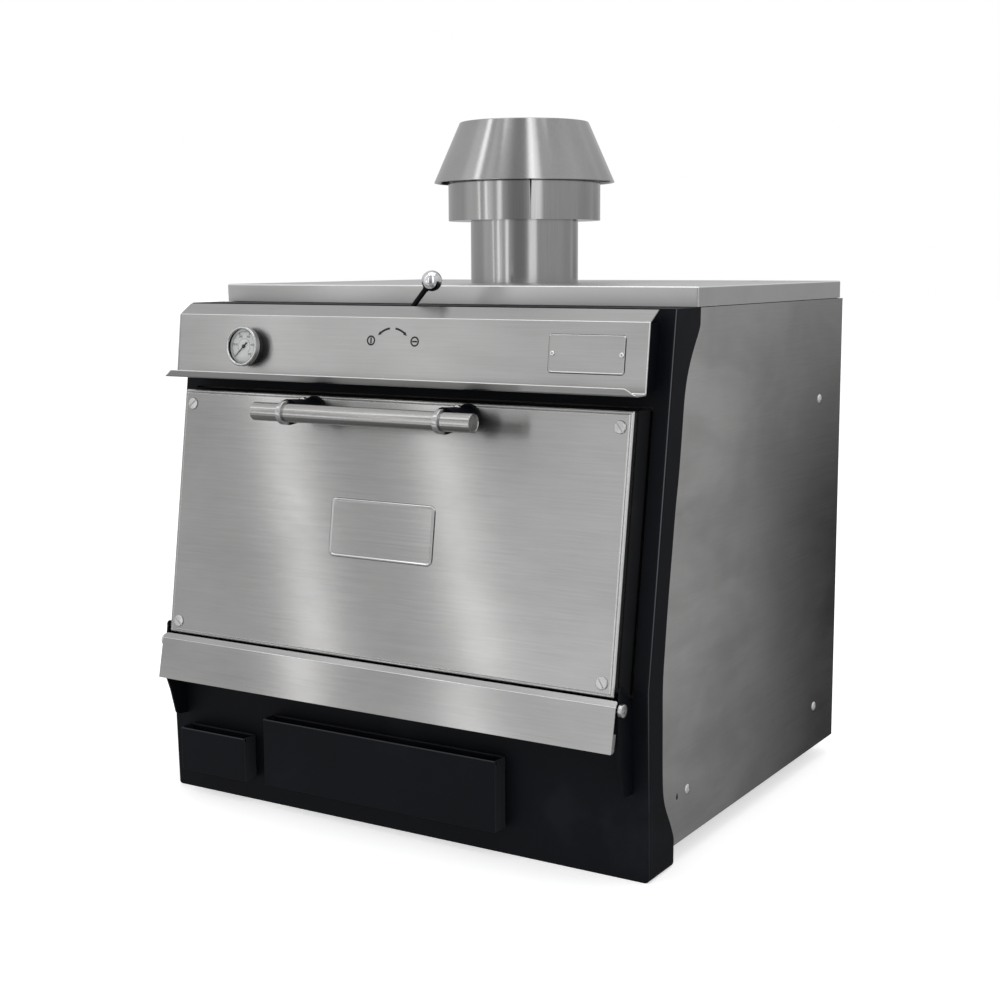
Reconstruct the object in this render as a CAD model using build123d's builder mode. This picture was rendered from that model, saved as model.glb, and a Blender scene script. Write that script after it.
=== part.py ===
from build123d import *
import math
import os

os.makedirs("parts", exist_ok=True)

# Charcoal oven, all lengths in mm. +X is to the right seen from the front, the
# front faces -Y, +Z is up, z = 0 is the worktop. The drawing's own depth datum is
# the front face of the lid; Y() moves it to the middle of the oven's depth.
CABINET_WIDTH = 900.0
FRAME_TOP = 819.0
SIDE_BOTTOM = 31.0
SIDE_TOP = 818.8
REAR = 592.4
LID_HALF = 444.0
LID_BOTTOM = 819.6
LID_TOP = 848.9
REAR_HEAD = 2.5
HANDLE_Y, HANDLE_Z, HANDLE_R, HANDLE_HALF = -224.0, 658.5, 14.2, 200.0
COLLAR_X, COLLAR_R, COLLAR_W = 143.0, 18.5, 11.0
DEPTH_MID = (REAR + REAR_HEAD + HANDLE_Y - COLLAR_R) / 2
FRAME_T = 3.0
FLANGE_T = 2.0
SHEET_T = 1.5
PANEL_T = 2.0
FLUE_Y = 256.4
DUCT_R, DUCT_T = 86.0, 2.0
PIPE_R, PIPE_T = 91.5, 1.5
RING_R, RING_BOTTOM, RING_TOP = 129.1, 953.3, 1034.0
CONE_R1, CONE_R2, CONE_BOTTOM, CONE_TOP = 153.4, 109.0, 1016.5, 1116.7
SHAFT_Z, SHAFT_R = 806.0, 6.0
RUN = 0.05
LEVER_Y, LEVER_DEG, LEVER_LEN, KNOB_R = -97.0, 42.0, 68.6, 15.7
SKIN_X, SKIN_LOW, SKIN_HIGH, SKIN_N = 411.6, -7.4, 390.1, 39.6
BEVEL = 3.0
RETURN_N = 24.6
PIVOT_S, PIVOT_N, PIN_R = 1.0, 30.63, 4.0
CAV_X, CAV_Y1, CAV_Z0, CAV_Z1, WALL = 330.0, 520.0, 300.0, 690.0, 5.0


def Y(v):
    return v - DEPTH_MID


def yz(points):
    return [(Y(y), z) for y, z in points]


def sheet(points, t):
    """Outline of a folded sheet: the path and the same path t to its left."""
    lines = []
    for (ax, ay), (bx, by) in zip(points, points[1:]):
        length = math.hypot(bx - ax, by - ay)
        nx, ny = -(by - ay) / length * t, (bx - ax) / length * t
        lines.append(((ax + nx, ay + ny), (bx + nx, by + ny)))
    inner = [lines[0][0]]
    for (p, q), (r, s) in zip(lines, lines[1:]):
        d1, d2 = (q[0] - p[0], q[1] - p[1]), (s[0] - r[0], s[1] - r[1])
        k = ((r[0] - p[0]) * d2[1] - (r[1] - p[1]) * d2[0]) / (d1[0] * d2[1] - d1[1] * d2[0])
        inner.append((p[0] + k * d1[0], p[1] + k * d1[1]))
    inner.append(lines[-1][1])
    return list(points) + inner[::-1]


def front_plane(y):
    return Plane.XZ.offset(-Y(y))


# The sloping face of the front frame: local x to the right, local y up the slope,
# local z outwards. Its origin is on the bend above the apron.
BEND_Y, BEND_Z, TOP_Y = -163.0, 285.0, -85.0
SLOPE = math.atan2(TOP_Y - BEND_Y, FRAME_TOP - BEND_Z)
SA, CA = math.sin(SLOPE), math.cos(SLOPE)
FACE = Plane(origin=(0, Y(BEND_Y), BEND_Z), x_dir=(1, 0, 0), z_dir=(0, -CA, SA))

# The fascia's face, its origin on the upper bend.
FAS_TOP, FAS_LOW = (-132.0, 802.0), (-144.2, 702.5)
FAS_ANG = math.atan2(FAS_TOP[0] - FAS_LOW[0], FAS_TOP[1] - FAS_LOW[1])
FAS = Plane(
    origin=(0, Y(FAS_TOP[0]), FAS_TOP[1]),
    x_dir=(1, 0, 0),
    z_dir=(0, -math.cos(FAS_ANG), math.sin(FAS_ANG)),
)

PIVOT = FACE.from_local_coords((0, PIVOT_S, PIVOT_N))
GAUGE = (-281.0, -51.4)

# ---------------------------------------------------------------- front frame
FLANGE_REAR = [
    (-76.5, 33), (-76.8, 45), (-82.6, 59), (-93, 78), (-103.6, 96), (-110.7, 113),
    (-115.4, 145), (-117.4, 234), (-118, 279), (-112.6, 336), (-103, 407),
    (-91.5, 478), (-80, 548), (-74, 576), (-67, 619), (-63, 647), (-57, 690),
    (-50, 717), (-40, 740), (-24, 766), (-9.5, 787), (-6, 794),
]
ASH_OPEN = (-225.0, 205.0, 49.0, 148.0)
AIR_OPEN = (-403.0, -278.0, 47.0, 108.0)

with BuildPart() as front_frame:
    with BuildSketch(Plane.YZ.offset(-CABINET_WIDTH / 2)):
        with BuildLine():
            Polyline(
                *sheet(
                    yz([(-5, FRAME_TOP), (TOP_Y, FRAME_TOP), (BEND_Y, BEND_Z), (-155, 0), (-125, 0)]),
                    FRAME_T,
                ),
                close=True,
            )
        make_face()
    extrude(amount=CABINET_WIDTH)
    with BuildSketch(Plane.YZ.offset(-CABINET_WIDTH / 2), Plane.YZ.offset(CABINET_WIDTH / 2 - FLANGE_T)):
        with BuildLine():
            Polyline(
                *yz([(-76.5, 33), (-76.5, 0), (-155, 0), (BEND_Y, BEND_Z), (TOP_Y, FRAME_TOP), (-5, FRAME_TOP), (-6, 794)])
            )
            Spline(*yz(FLANGE_REAR[::-1]))
        make_face()
    extrude(amount=FLANGE_T)
    fillet(
        front_frame.edges().filter_by(
            lambda e: abs(abs(e.center().X) - CABINET_WIDTH / 2) < 0.1
            and e.center().Y < Y(-120)
            and e.length > 200
        ),
        4.5,
    )
    with BuildSketch(front_plane(-220)):
        with Locations((0, FRAME_TOP / 2 + 50)):
            RectangleRounded(CABINET_WIDTH, FRAME_TOP + 100, 9)
    extrude(amount=-320, mode=Mode.INTERSECT)
    with BuildSketch(FACE.offset(12)):
        with Locations((0, (401 - 14) / 2)):
            RectangleRounded(850, 415, 4)
    extrude(amount=-30, mode=Mode.SUBTRACT)
    with BuildSketch(front_plane(-140)):
        for x0, x1, z0, z1 in (ASH_OPEN, AIR_OPEN):
            with Locations(((x0 + x1) / 2, (z0 + z1) / 2)):
                Rectangle(x1 - x0, z1 - z0)
    extrude(amount=40, mode=Mode.SUBTRACT)
    with BuildSketch(front_plane(-70)):
        with Locations((0, SHAFT_Z)):
            Circle(10.5)
        with Locations((GAUGE[0], 745)):
            Circle(9)
    extrude(amount=60, mode=Mode.SUBTRACT)
front_frame.part.label = "front_frame"
export_step(front_frame.part, "parts/front_frame.step")

# -------------------------------------------------------------------- cabinet
SIDE_X = CABINET_WIDTH / 2 - FLANGE_T
SIDE_SCREWS = [(489.0, 650.0), (497.0, 106.0), (-27.0, 105.0)]
SIDE_SHAPE = [
    (REAR, SIDE_BOTTOM), (REAR, SIDE_TOP), (-4.5, SIDE_TOP), (-4.5, 815.8), (-76, 815.8),
    (-152, 295), (-145, SIDE_BOTTOM),
]

with BuildPart() as side_panel_left:
    with BuildSketch(Plane.YZ.offset(-SIDE_X)):
        with BuildLine():
            Polyline(*yz(SIDE_SHAPE), close=True)
        make_face()
        with Locations(*yz(SIDE_SCREWS)):
            Circle(3.2, mode=Mode.SUBTRACT)
    extrude(amount=PANEL_T)
    with Locations((-SIDE_X + PANEL_T + 12, Y(300), 814)):
        Box(24, 560, 2)
side_panel_left.part.label = "side_panel_left"
export_step(side_panel_left.part, "parts/side_panel_left.step")

with BuildPart() as side_panel_right:
    with BuildSketch(Plane.YZ.offset(SIDE_X - PANEL_T)):
        with BuildLine():
            Polyline(*yz(SIDE_SHAPE), close=True)
        make_face()
        with Locations(*yz(SIDE_SCREWS)):
            Circle(3.2, mode=Mode.SUBTRACT)
    extrude(amount=PANEL_T)
    with Locations((SIDE_X - PANEL_T - 12, Y(300), 814)):
        Box(24, 560, 2)
side_panel_right.part.label = "side_panel_right"
export_step(side_panel_right.part, "parts/side_panel_right.step")

REAR_X = SIDE_X - PANEL_T
REAR_SCREWS = [(x, z) for x in (-428, -214, 214, 428) for z in (60, 790)] + [(-428, 425), (428, 425)]
with BuildPart() as rear_panel:
    with BuildSketch(front_plane(REAR)):
        with Locations((0, (SIDE_BOTTOM + SIDE_TOP) / 2)):
            Rectangle(2 * REAR_X, SIDE_TOP - SIDE_BOTTOM)
        with Locations(*REAR_SCREWS):
            Circle(3.2, mode=Mode.SUBTRACT)
    extrude(amount=PANEL_T)
    with BuildSketch(front_plane(REAR)):
        with GridLocations(0, 16, 1, 5):
            with Locations((0, 130)):
                SlotOverall(260, 6)
    extrude(amount=PANEL_T, mode=Mode.SUBTRACT)
rear_panel.part.label = "rear_panel"
export_step(rear_panel.part, "parts/rear_panel.step")

SCREW_R = 8.0
with BuildPart() as panel_screws:
    seats = [
        Plane(origin=(side * SIDE_X, Y(y), z), x_dir=(0, 1, 0), z_dir=(side, 0, 0))
        for side in (-1, 1)
        for y, z in SIDE_SCREWS
    ] + [Plane(origin=(x, Y(REAR), z), x_dir=(1, 0, 0), z_dir=(0, 1, 0)) for x, z in REAR_SCREWS]
    for seat in seats:
        with BuildSketch(seat):
            Circle(SCREW_R)
        extrude(amount=REAR_HEAD, taper=25)
        with BuildSketch(seat.offset(REAR_HEAD)):
            RegularPolygon(2.2, 6)
        extrude(amount=-1.4, mode=Mode.SUBTRACT)
        with BuildSketch(seat):
            Circle(3.0)
        extrude(amount=-12)
panel_screws.part.label = "panel_screws"
export_step(panel_screws.part, "parts/panel_screws.step")

with BuildPart() as top_lid:
    with Locations((0, Y(REAR / 2), (LID_BOTTOM + LID_TOP) / 2)):
        Box(2 * LID_HALF, REAR, LID_TOP - LID_BOTTOM)
    fillet(top_lid.edges().filter_by(Axis.Z), 4)
    fillet(top_lid.faces().sort_by(Axis.Z)[-1].edges(), 2.5)
    with BuildSketch(Plane.XY.offset(LID_BOTTOM)):
        with Locations((0, Y(REAR / 2))):
            RectangleRounded(2 * LID_HALF - 2 * SHEET_T, REAR - 2 * SHEET_T, 2.5)
    extrude(amount=LID_TOP - LID_BOTTOM - 2.6, mode=Mode.SUBTRACT)
    with BuildSketch(Plane.XY.offset(LID_TOP + 1)):
        with Locations((0, Y(FLUE_Y))):
            Circle(DUCT_R + DUCT_T + 1)
    extrude(amount=-40, mode=Mode.SUBTRACT)
    with Locations((308, Y(536), LID_TOP - 0.5)):
        Box(14, 52, 2.2, mode=Mode.SUBTRACT)
top_lid.part.label = "top_lid"
export_step(top_lid.part, "parts/top_lid.step")

with BuildPart() as lid_gasket:
    with BuildSketch(Plane.XY.offset(815.1)):
        with Locations((0, Y(300))):
            Rectangle(2 * LID_HALF - 8, 576)
            Rectangle(2 * LID_HALF - 40, 544, mode=Mode.SUBTRACT)
    extrude(amount=LID_BOTTOM - 815.1)
    with Locations((0, Y(0), 800)):
        Box(950, 30, 60, mode=Mode.SUBTRACT)
lid_gasket.part.label = "lid_gasket"
export_step(lid_gasket.part, "parts/lid_gasket.step")

with BuildPart() as base_plate:
    with BuildSketch(Plane.XY.offset(SIDE_BOTTOM)):
        with Locations((0, Y((588 - 140) / 2))):
            Rectangle(2 * REAR_X, 728)
        with Locations((0, Y(470))):
            with GridLocations(60, 0, 5, 1):
                SlotOverall(80, 8, rotation=90, mode=Mode.SUBTRACT)
    extrude(amount=2)
base_plate.part.label = "base_plate"
export_step(base_plate.part, "parts/base_plate.step")

with BuildPart() as feet:
    with BuildSketch(Plane.XY):
        with Locations((0, Y(230))):
            with GridLocations(640, 430, 2, 2):
                Circle(24)
    extrude(amount=SIDE_BOTTOM)
    chamfer(feet.faces().filter_by(Axis.Z).group_by(Axis.Z)[0].edges(), 3)
feet.part.label = "feet"
export_step(feet.part, "parts/feet.step")

# --------------------------------------------------------------- firing chamber
FLANGE_N = -16.5
MOUTH_S0, MOUTH_S1 = 20.0, 380.0
with BuildPart() as firing_chamber:
    with Locations((0, Y((CAV_Y1 + WALL - 200) / 2), (CAV_Z0 + CAV_Z1) / 2)):
        Box(2 * (CAV_X + WALL), CAV_Y1 + WALL + 200, CAV_Z1 - CAV_Z0 + 2 * WALL)
    with BuildSketch(FACE.offset(FLANGE_N)):
        Rectangle(2000, 2000)
    extrude(amount=300, mode=Mode.SUBTRACT)
    with BuildSketch(Plane.XZ.offset(-Y(CAV_Y1))):
        with Locations((0, (CAV_Z0 + CAV_Z1) / 2)):
            Rectangle(2 * CAV_X, CAV_Z1 - CAV_Z0)
    extrude(amount=800, mode=Mode.SUBTRACT)
    with BuildSketch(FACE.offset(FLANGE_N)):
        with Locations((0, 193)):
            Rectangle(884, 446)
        with Locations((0, (MOUTH_S0 + MOUTH_S1) / 2)):
            RectangleRounded(2 * CAV_X, MOUTH_S1 - MOUTH_S0, 8, mode=Mode.SUBTRACT)
    extrude(amount=-5)
    with BuildSketch(FACE.offset(FLANGE_N)):
        with Locations((0, 193)):
            Rectangle(884, 446)
        with Locations((0, 193.5)):
            Rectangle(854, 419, mode=Mode.SUBTRACT)
    extrude(amount=13.3)
    with BuildSketch(FACE.offset(-9.2)):
        with Locations((0, -38)):
            Rectangle(1000, 100)
    extrude(amount=20, mode=Mode.SUBTRACT)
    with BuildSketch(Plane.XY.offset(CAV_Z0)):
        with Locations((-10, Y(210))):
            Rectangle(400, 340)
    extrude(amount=-20, mode=Mode.SUBTRACT)
    with BuildSketch(Plane.XY.offset(CAV_Z1 - 5)):
        with Locations((0, Y(FLUE_Y))):
            Circle(DUCT_R)
        with Locations((GAUGE[0], Y(40))):
            Circle(6)
    extrude(amount=30, mode=Mode.SUBTRACT)
firing_chamber.part.label = "firing_chamber"
export_step(firing_chamber.part, "parts/firing_chamber.step")

with BuildPart() as chamber_legs:
    for x in (-300, 300):
        with Locations((x, Y(470), (33 + CAV_Z0 - WALL) / 2)):
            Box(40, 40, CAV_Z0 - WALL - 33)
            Box(34, 34, CAV_Z0, mode=Mode.SUBTRACT)
chamber_legs.part.label = "chamber_legs"
export_step(chamber_legs.part, "parts/chamber_legs.step")

INS_Y0, INS_Y1 = -66.0, 525.0
with BuildPart() as insulation_blanket:
    with Locations((0, Y((INS_Y0 + 576) / 2), 520.3)):
        Box(770, 576 - INS_Y0, 450)
    with Locations((0, Y((INS_Y0 + INS_Y1) / 2), 495.1)):
        Box(2 * (CAV_X + WALL) + 1, INS_Y1 + 1 - INS_Y0 + 0.2, 400.4, mode=Mode.SUBTRACT)
        Box(2 * (CAV_X + WALL) + 1, INS_Y1 - INS_Y0, 400.4, mode=Mode.SUBTRACT)
    with Locations((0, Y(0), 285)):
        Box(700, 1080, 60, mode=Mode.SUBTRACT)
    with BuildSketch(Plane.XY.offset(680)):
        with Locations((0, Y(FLUE_Y))):
            Circle(DUCT_R + DUCT_T + 0.5)
        with Locations((GAUGE[0], Y(40))):
            Circle(6)
    extrude(amount=80, mode=Mode.SUBTRACT)
    with BuildSketch(Plane.XY.offset(680)):
        with Locations((0, Y(FLUE_Y))):
            Circle(112)
    extrude(amount=24, mode=Mode.SUBTRACT)
insulation_blanket.part.label = "insulation_blanket"
export_step(insulation_blanket.part, "parts/insulation_blanket.step")

# ------------------------------------------------------------ fire and cooking
with BuildPart() as grate_ledges:
    for side in (-1, 1):
        with BuildSketch(front_plane(500)):
            with BuildLine():
                Polyline(
                    (side * 329.9, 318), (side * 329.9, 344), (side * 326.9, 344),
                    (side * 326.9, 321), (side * 305, 321), (side * 305, 318), close=True,
                )
            make_face()
        extrude(amount=540)
grate_ledges.part.label = "grate_ledges"
export_step(grate_ledges.part, "parts/grate_ledges.step")

with BuildPart() as charcoal_grate:
    with BuildSketch(Plane.XY.offset(321.2)):
        with Locations((0, Y(230))):
            with GridLocations(24, 0, 27, 1):
                Rectangle(9, 520)
            with GridLocations(0, 170, 1, 4):
                Rectangle(640, 10)
    extrude(amount=14)
charcoal_grate.part.label = "charcoal_grate"
export_step(charcoal_grate.part, "parts/charcoal_grate.step")

with BuildPart() as rack_rails:
    for side in (-1, 1):
        for z in (455, 560):
            with BuildSketch(front_plane(500)):
                with BuildLine():
                    Polyline(
                        (side * 329.9, z), (side * 329.9, z + 22), (side * 327.4, z + 22),
                        (side * 327.4, z + 2.5), (side * 308, z + 2.5), (side * 308, z), close=True,
                    )
                make_face()
            extrude(amount=530)
rack_rails.part.label = "rack_rails"
export_step(rack_rails.part, "parts/rack_rails.step")

with BuildPart() as cooking_grid:
    with BuildSketch(Plane.XY.offset(457.7)):
        with Locations((0, Y(235))):
            RectangleRounded(648, 500, 12)
            RectangleRounded(632, 484, 6, mode=Mode.SUBTRACT)
    extrude(amount=8)
    with BuildSketch(front_plane(235 - 245)):
        with GridLocations(24, 0, 26, 1):
            with Locations((0, 461.7)):
                Circle(3.5)
    extrude(amount=-490)
    with BuildSketch(Plane.YZ.offset(-318)):
        with Locations((Y(120), 461.7), (Y(350), 461.7)):
            Circle(3)
    extrude(amount=636)
cooking_grid.part.label = "cooking_grid"
export_step(cooking_grid.part, "parts/cooking_grid.step")

# ------------------------------------------------------------------- ash path
with BuildPart() as ash_funnel:
    with BuildSketch(Plane.XY.offset(CAV_Z0 - WALL - 0.1)):
        with Locations((-10, Y(210))):
            Rectangle(424, 364)
    with BuildSketch(Plane.XY.offset(160.2)):
        with Locations((-10, Y(180))):
            Rectangle(320, 260)
    loft()
    with BuildSketch(Plane.XY.offset(CAV_Z0 - WALL)):
        with Locations((-10, Y(210))):
            Rectangle(420, 360)
    with BuildSketch(Plane.XY.offset(160.1)):
        with Locations((-10, Y(180))):
            Rectangle(316, 256)
    loft(mode=Mode.SUBTRACT)
ash_funnel.part.label = "ash_funnel"
export_step(ash_funnel.part, "parts/ash_funnel.step")

with BuildPart() as ash_housing:
    with Locations((-10, Y(90), 105.3)):
        Box(444, 478, 109.4)
    with Locations((-10, Y(90) - 1.5, 105.15)):
        Box(441, 478, 106.5, mode=Mode.SUBTRACT)
    with Locations((-10, Y(180), 160)):
        Box(314, 254, 20, mode=Mode.SUBTRACT)
    with Locations((-232, Y(70), 80)):
        Box(20, 76, 44, mode=Mode.SUBTRACT)
ash_housing.part.label = "ash_housing"
export_step(ash_housing.part, "parts/ash_housing.step")

DRAWER_BACK = -160.2
with BuildPart() as ash_drawer_front:
    with BuildSketch(front_plane(DRAWER_BACK)):
        with Locations((-10, 98.5)):
            Rectangle(442, 111)
    extrude(amount=190 - 160.2)
    with BuildSketch(front_plane(-162.2)):
        with Locations((-10, 103)):
            Rectangle(438, 116)
    extrude(amount=188 - 162.2, mode=Mode.SUBTRACT)
    with BuildSketch(front_plane(-170)):
        with Locations((-231, 154), (211, 154)):
            Circle(7)
    extrude(amount=6, mode=Mode.SUBTRACT)
ash_drawer_front.part.label = "ash_drawer_front"
export_step(ash_drawer_front.part, "parts/ash_drawer_front.step")

with BuildPart() as ash_drawer_tray:
    with Locations((-10, Y((DRAWER_BACK + 310) / 2), 96)):
        Box(420, 310 - DRAWER_BACK, 88)
    with Locations((-10, Y((DRAWER_BACK + 310) / 2), 98)):
        Box(417, 307 - DRAWER_BACK, 89, mode=Mode.SUBTRACT)
ash_drawer_tray.part.label = "ash_drawer_tray"
export_step(ash_drawer_tray.part, "parts/ash_drawer_tray.step")

with BuildPart() as air_duct:
    with Locations((-340.5, Y(-15), 77.95)):
        Box(131, 270, 59.1)
    with Locations((-340.5, Y(-15) - 1.5, 77.95)):
        Box(128, 270, 56.1, mode=Mode.SUBTRACT)
    with Locations((-253.6, Y(70), 80)):
        Box(43, 79, 47)
    with Locations((-256, Y(70), 80)):
        Box(60, 76, 44, mode=Mode.SUBTRACT)
air_duct.part.label = "air_duct"
export_step(air_duct.part, "parts/air_duct.step")

with BuildPart() as air_drawer:
    with BuildSketch(front_plane(DRAWER_BACK)):
        with Locations((-340.5, 77.5)):
            Rectangle(137, 73)
    extrude(amount=190 - 160.2)
    with BuildSketch(front_plane(-162.2)):
        with Locations((-340.5, 82)):
            Rectangle(133, 78)
    extrude(amount=188 - 162.2, mode=Mode.SUBTRACT)
    with Locations((-340.5, Y((DRAWER_BACK - 40) / 2), 77.5)):
        Box(115, -40 - DRAWER_BACK, 55)
    with Locations((-340.5, Y((DRAWER_BACK - 40) / 2) + 4, 78)):
        Box(112, -40 - DRAWER_BACK + 4, 51.5, mode=Mode.SUBTRACT)
    with BuildSketch(Plane.YZ.offset(-420)):
        with Locations((Y(-110), 78)):
            with GridLocations(0, 14, 1, 3):
                SlotOverall(60, 7)
    extrude(amount=160, mode=Mode.SUBTRACT)
air_drawer.part.label = "air_drawer"
export_step(air_drawer.part, "parts/air_drawer.step")

# ----------------------------------------------------------------------- flue
with BuildPart() as flue_duct:
    with BuildSketch(Plane.XY.offset(CAV_Z1 + WALL)):
        with Locations((0, Y(FLUE_Y))):
            Circle(110)
    extrude(amount=3)
    with BuildSketch(Plane.XY.offset(CAV_Z1 + WALL)):
        with Locations((0, Y(FLUE_Y))):
            Circle(DUCT_R + DUCT_T)
    extrude(amount=862 - CAV_Z1 - WALL)
    with BuildSketch(Plane.XY.offset(CAV_Z1 + WALL)):
        with Locations((0, Y(FLUE_Y))):
            Circle(DUCT_R)
    extrude(amount=862 - CAV_Z1 - WALL, mode=Mode.SUBTRACT)
    with BuildSketch(front_plane(FLUE_Y + 100)):
        with Locations((0, SHAFT_Z)):
            Circle(SHAFT_R + 0.6)
    extrude(amount=200, mode=Mode.SUBTRACT)
flue_duct.part.label = "flue_duct"
export_step(flue_duct.part, "parts/flue_duct.step")

with BuildPart() as flue_pipe:
    with BuildSketch(Plane.XY.offset(LID_TOP)):
        with Locations((0, Y(FLUE_Y))):
            Circle(PIPE_R)
            Circle(PIPE_R - PIPE_T, mode=Mode.SUBTRACT)
    extrude(amount=1012 - LID_TOP)
flue_pipe.part.label = "flue_pipe"
export_step(flue_pipe.part, "parts/flue_pipe.step")

with BuildPart() as arrestor_ring:
    with BuildSketch(Plane.XY.offset(RING_BOTTOM)):
        with Locations((0, Y(FLUE_Y))):
            Circle(RING_R)
            Circle(PIPE_R + 0.1, mode=Mode.SUBTRACT)
    extrude(amount=SHEET_T)
    with BuildSketch(Plane.XY.offset(RING_BOTTOM)):
        with Locations((0, Y(FLUE_Y))):
            Circle(RING_R)
            Circle(RING_R - SHEET_T, mode=Mode.SUBTRACT)
    extrude(amount=RING_TOP - RING_BOTTOM)
arrestor_ring.part.label = "arrestor_ring"
export_step(arrestor_ring.part, "parts/arrestor_ring.step")

with BuildPart() as arrestor_mesh:
    with BuildSketch(Plane.XY.offset(1000)):
        with Locations((0, Y(FLUE_Y))):
            Circle(PIPE_R + 3)
            Circle(PIPE_R + 0.2, mode=Mode.SUBTRACT)
    extrude(amount=82)
    with BuildSketch(Plane.XY.offset(1080)):
        with Locations((0, Y(FLUE_Y))):
            Circle(PIPE_R + 3)
    extrude(amount=2)
    for turn in range(0, 180, 9):
        with BuildSketch(
            Plane(
                origin=(0, Y(FLUE_Y), 1046),
                x_dir=(-math.sin(math.radians(turn)), math.cos(math.radians(turn)), 0),
                z_dir=(math.cos(math.radians(turn)), math.sin(math.radians(turn)), 0),
            )
        ):
            SlotOverall(52, 8, rotation=90)
        extrude(amount=120, both=True, mode=Mode.SUBTRACT)
arrestor_mesh.part.label = "arrestor_mesh"
export_step(arrestor_mesh.part, "parts/arrestor_mesh.step")

CONE_K = (CONE_R1 - CONE_R2) / (CONE_TOP - CONE_BOTTOM)
with BuildPart() as flue_cap:
    with BuildSketch(Plane.XZ.offset(-Y(FLUE_Y))):
        with BuildLine():
            Polyline(
                (CONE_R1, CONE_BOTTOM), (CONE_R2, CONE_TOP), (0, CONE_TOP), (0, CONE_TOP - SHEET_T),
                (CONE_R2 - 1.0, CONE_TOP - SHEET_T), (CONE_R1 - 1.7, CONE_BOTTOM), close=True,
            )
        make_face()
    revolve(axis=Axis((0, Y(FLUE_Y), 0), (0, 0, 1)))
flue_cap.part.label = "flue_cap"
export_step(flue_cap.part, "parts/flue_cap.step")

with BuildPart() as cap_brackets:
    for turn in (45, 135, 225, 315):
        a = math.radians(turn)
        with BuildSketch(
            Plane(
                origin=(0, Y(FLUE_Y), 0),
                x_dir=(math.cos(a), math.sin(a), 0),
                z_dir=(math.sin(a), -math.cos(a), 0),
            )
        ):
            with BuildLine():
                Polyline(
                    (RING_R + 0.1, 1019), (CONE_R1 - 2.2 - CONE_K * 2.5, 1019),
                    (CONE_R1 - 2.2 - CONE_K * 14.5, 1031), (RING_R + 0.1, 1031), close=True,
                )
            make_face()
        extrude(amount=6, both=True)
cap_brackets.part.label = "cap_brackets"
export_step(cap_brackets.part, "parts/cap_brackets.step")

# --------------------------------------------------------------------- damper
with BuildPart() as damper_shaft:
    with BuildSketch(front_plane(FLUE_Y + 104)):
        with Locations((0, SHAFT_Z)):
            Circle(SHAFT_R)
    extrude(amount=FLUE_Y + 104 + 102.5)
damper_shaft.part.label = "damper_shaft"
export_step(damper_shaft.part, "parts/damper_shaft.step")

with BuildPart() as damper_disc:
    with BuildSketch(Plane.XY.offset(SHAFT_Z + SHAFT_R)):
        with Locations((0, Y(FLUE_Y))):
            Circle(84)
    extrude(amount=3)
    for dy in (-52, 52):
        with Locations((0, Y(FLUE_Y + dy), SHAFT_Z)):
            Box(20, 18, 2 * SHAFT_R)
    with BuildSketch(front_plane(FLUE_Y + 104)):
        with Locations((0, SHAFT_Z)):
            Circle(SHAFT_R)
    extrude(amount=300, mode=Mode.SUBTRACT)
    for dy in (-52, 52):
        with Locations((0, Y(FLUE_Y + dy), SHAFT_Z - SHAFT_R - 1)):
            Box(20, 18, 2)
damper_disc.part.label = "damper_disc"
export_step(damper_disc.part, "parts/damper_disc.step")

with BuildPart() as shaft_bushes:
    for y_front, length in ((-80.4, 12), (FLUE_Y - 98.5, 10), (FLUE_Y + 88.3, 10)):
        with BuildSketch(front_plane(y_front + length)):
            with Locations((0, SHAFT_Z)):
                Circle(9.4)
                Circle(SHAFT_R + RUN, mode=Mode.SUBTRACT)
        extrude(amount=length)
shaft_bushes.part.label = "shaft_bushes"
export_step(shaft_bushes.part, "parts/shaft_bushes.step")

LEVER_AX = (math.sin(math.radians(LEVER_DEG)), 0, math.cos(math.radians(LEVER_DEG)))
with BuildPart() as lever_rod:
    with BuildSketch(front_plane(LEVER_Y + 5.5)):
        with Locations((0, SHAFT_Z)):
            Circle(11)
    extrude(amount=11)
    with BuildSketch(Plane(origin=(0, Y(LEVER_Y), SHAFT_Z), x_dir=(0, 1, 0), z_dir=LEVER_AX)):
        Circle(4)
    extrude(amount=LEVER_LEN - KNOB_R + 1)
    with BuildSketch(front_plane(0)):
        with Locations((0, SHAFT_Z)):
            Circle(SHAFT_R)
    extrude(amount=200, mode=Mode.SUBTRACT)
lever_rod.part.label = "lever_rod"
export_step(lever_rod.part, "parts/lever_rod.step")

KNOB = (LEVER_LEN * LEVER_AX[0], Y(LEVER_Y), SHAFT_Z + LEVER_LEN * LEVER_AX[2])
with BuildPart() as lever_knob:
    with Locations(KNOB):
        Sphere(KNOB_R)
    with BuildSketch(Plane(origin=(0, Y(LEVER_Y), SHAFT_Z), x_dir=(0, 1, 0), z_dir=LEVER_AX)):
        Circle(4)
    extrude(amount=LEVER_LEN - KNOB_R + 1, mode=Mode.SUBTRACT)
lever_knob.part.label = "lever_knob"
export_step(lever_knob.part, "parts/lever_knob.step")

# --------------------------------------------------------------------- fascia
FASCIA_HALF = 430.0
with BuildPart() as fascia_panel:
    with BuildSketch(Plane.YZ.offset(-FASCIA_HALF)):
        with BuildLine():
            Polyline(
                *sheet(yz([(-105.5, 818.4), FAS_TOP, FAS_LOW, (-172.5, 702.5), (-176, 712)]), SHEET_T),
                close=True,
            )
        make_face()
    extrude(amount=2 * FASCIA_HALF)
    with BuildSketch(FAS.offset(5)):
        with Locations(GAUGE):
            Circle(7.2)
        with Locations((279.5, -46.9), (391.0, -46.9)):
            Circle(1.6)
    extrude(amount=-12, mode=Mode.SUBTRACT)
fascia_panel.part.label = "fascia_panel"
export_step(fascia_panel.part, "parts/fascia_panel.step")

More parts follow.
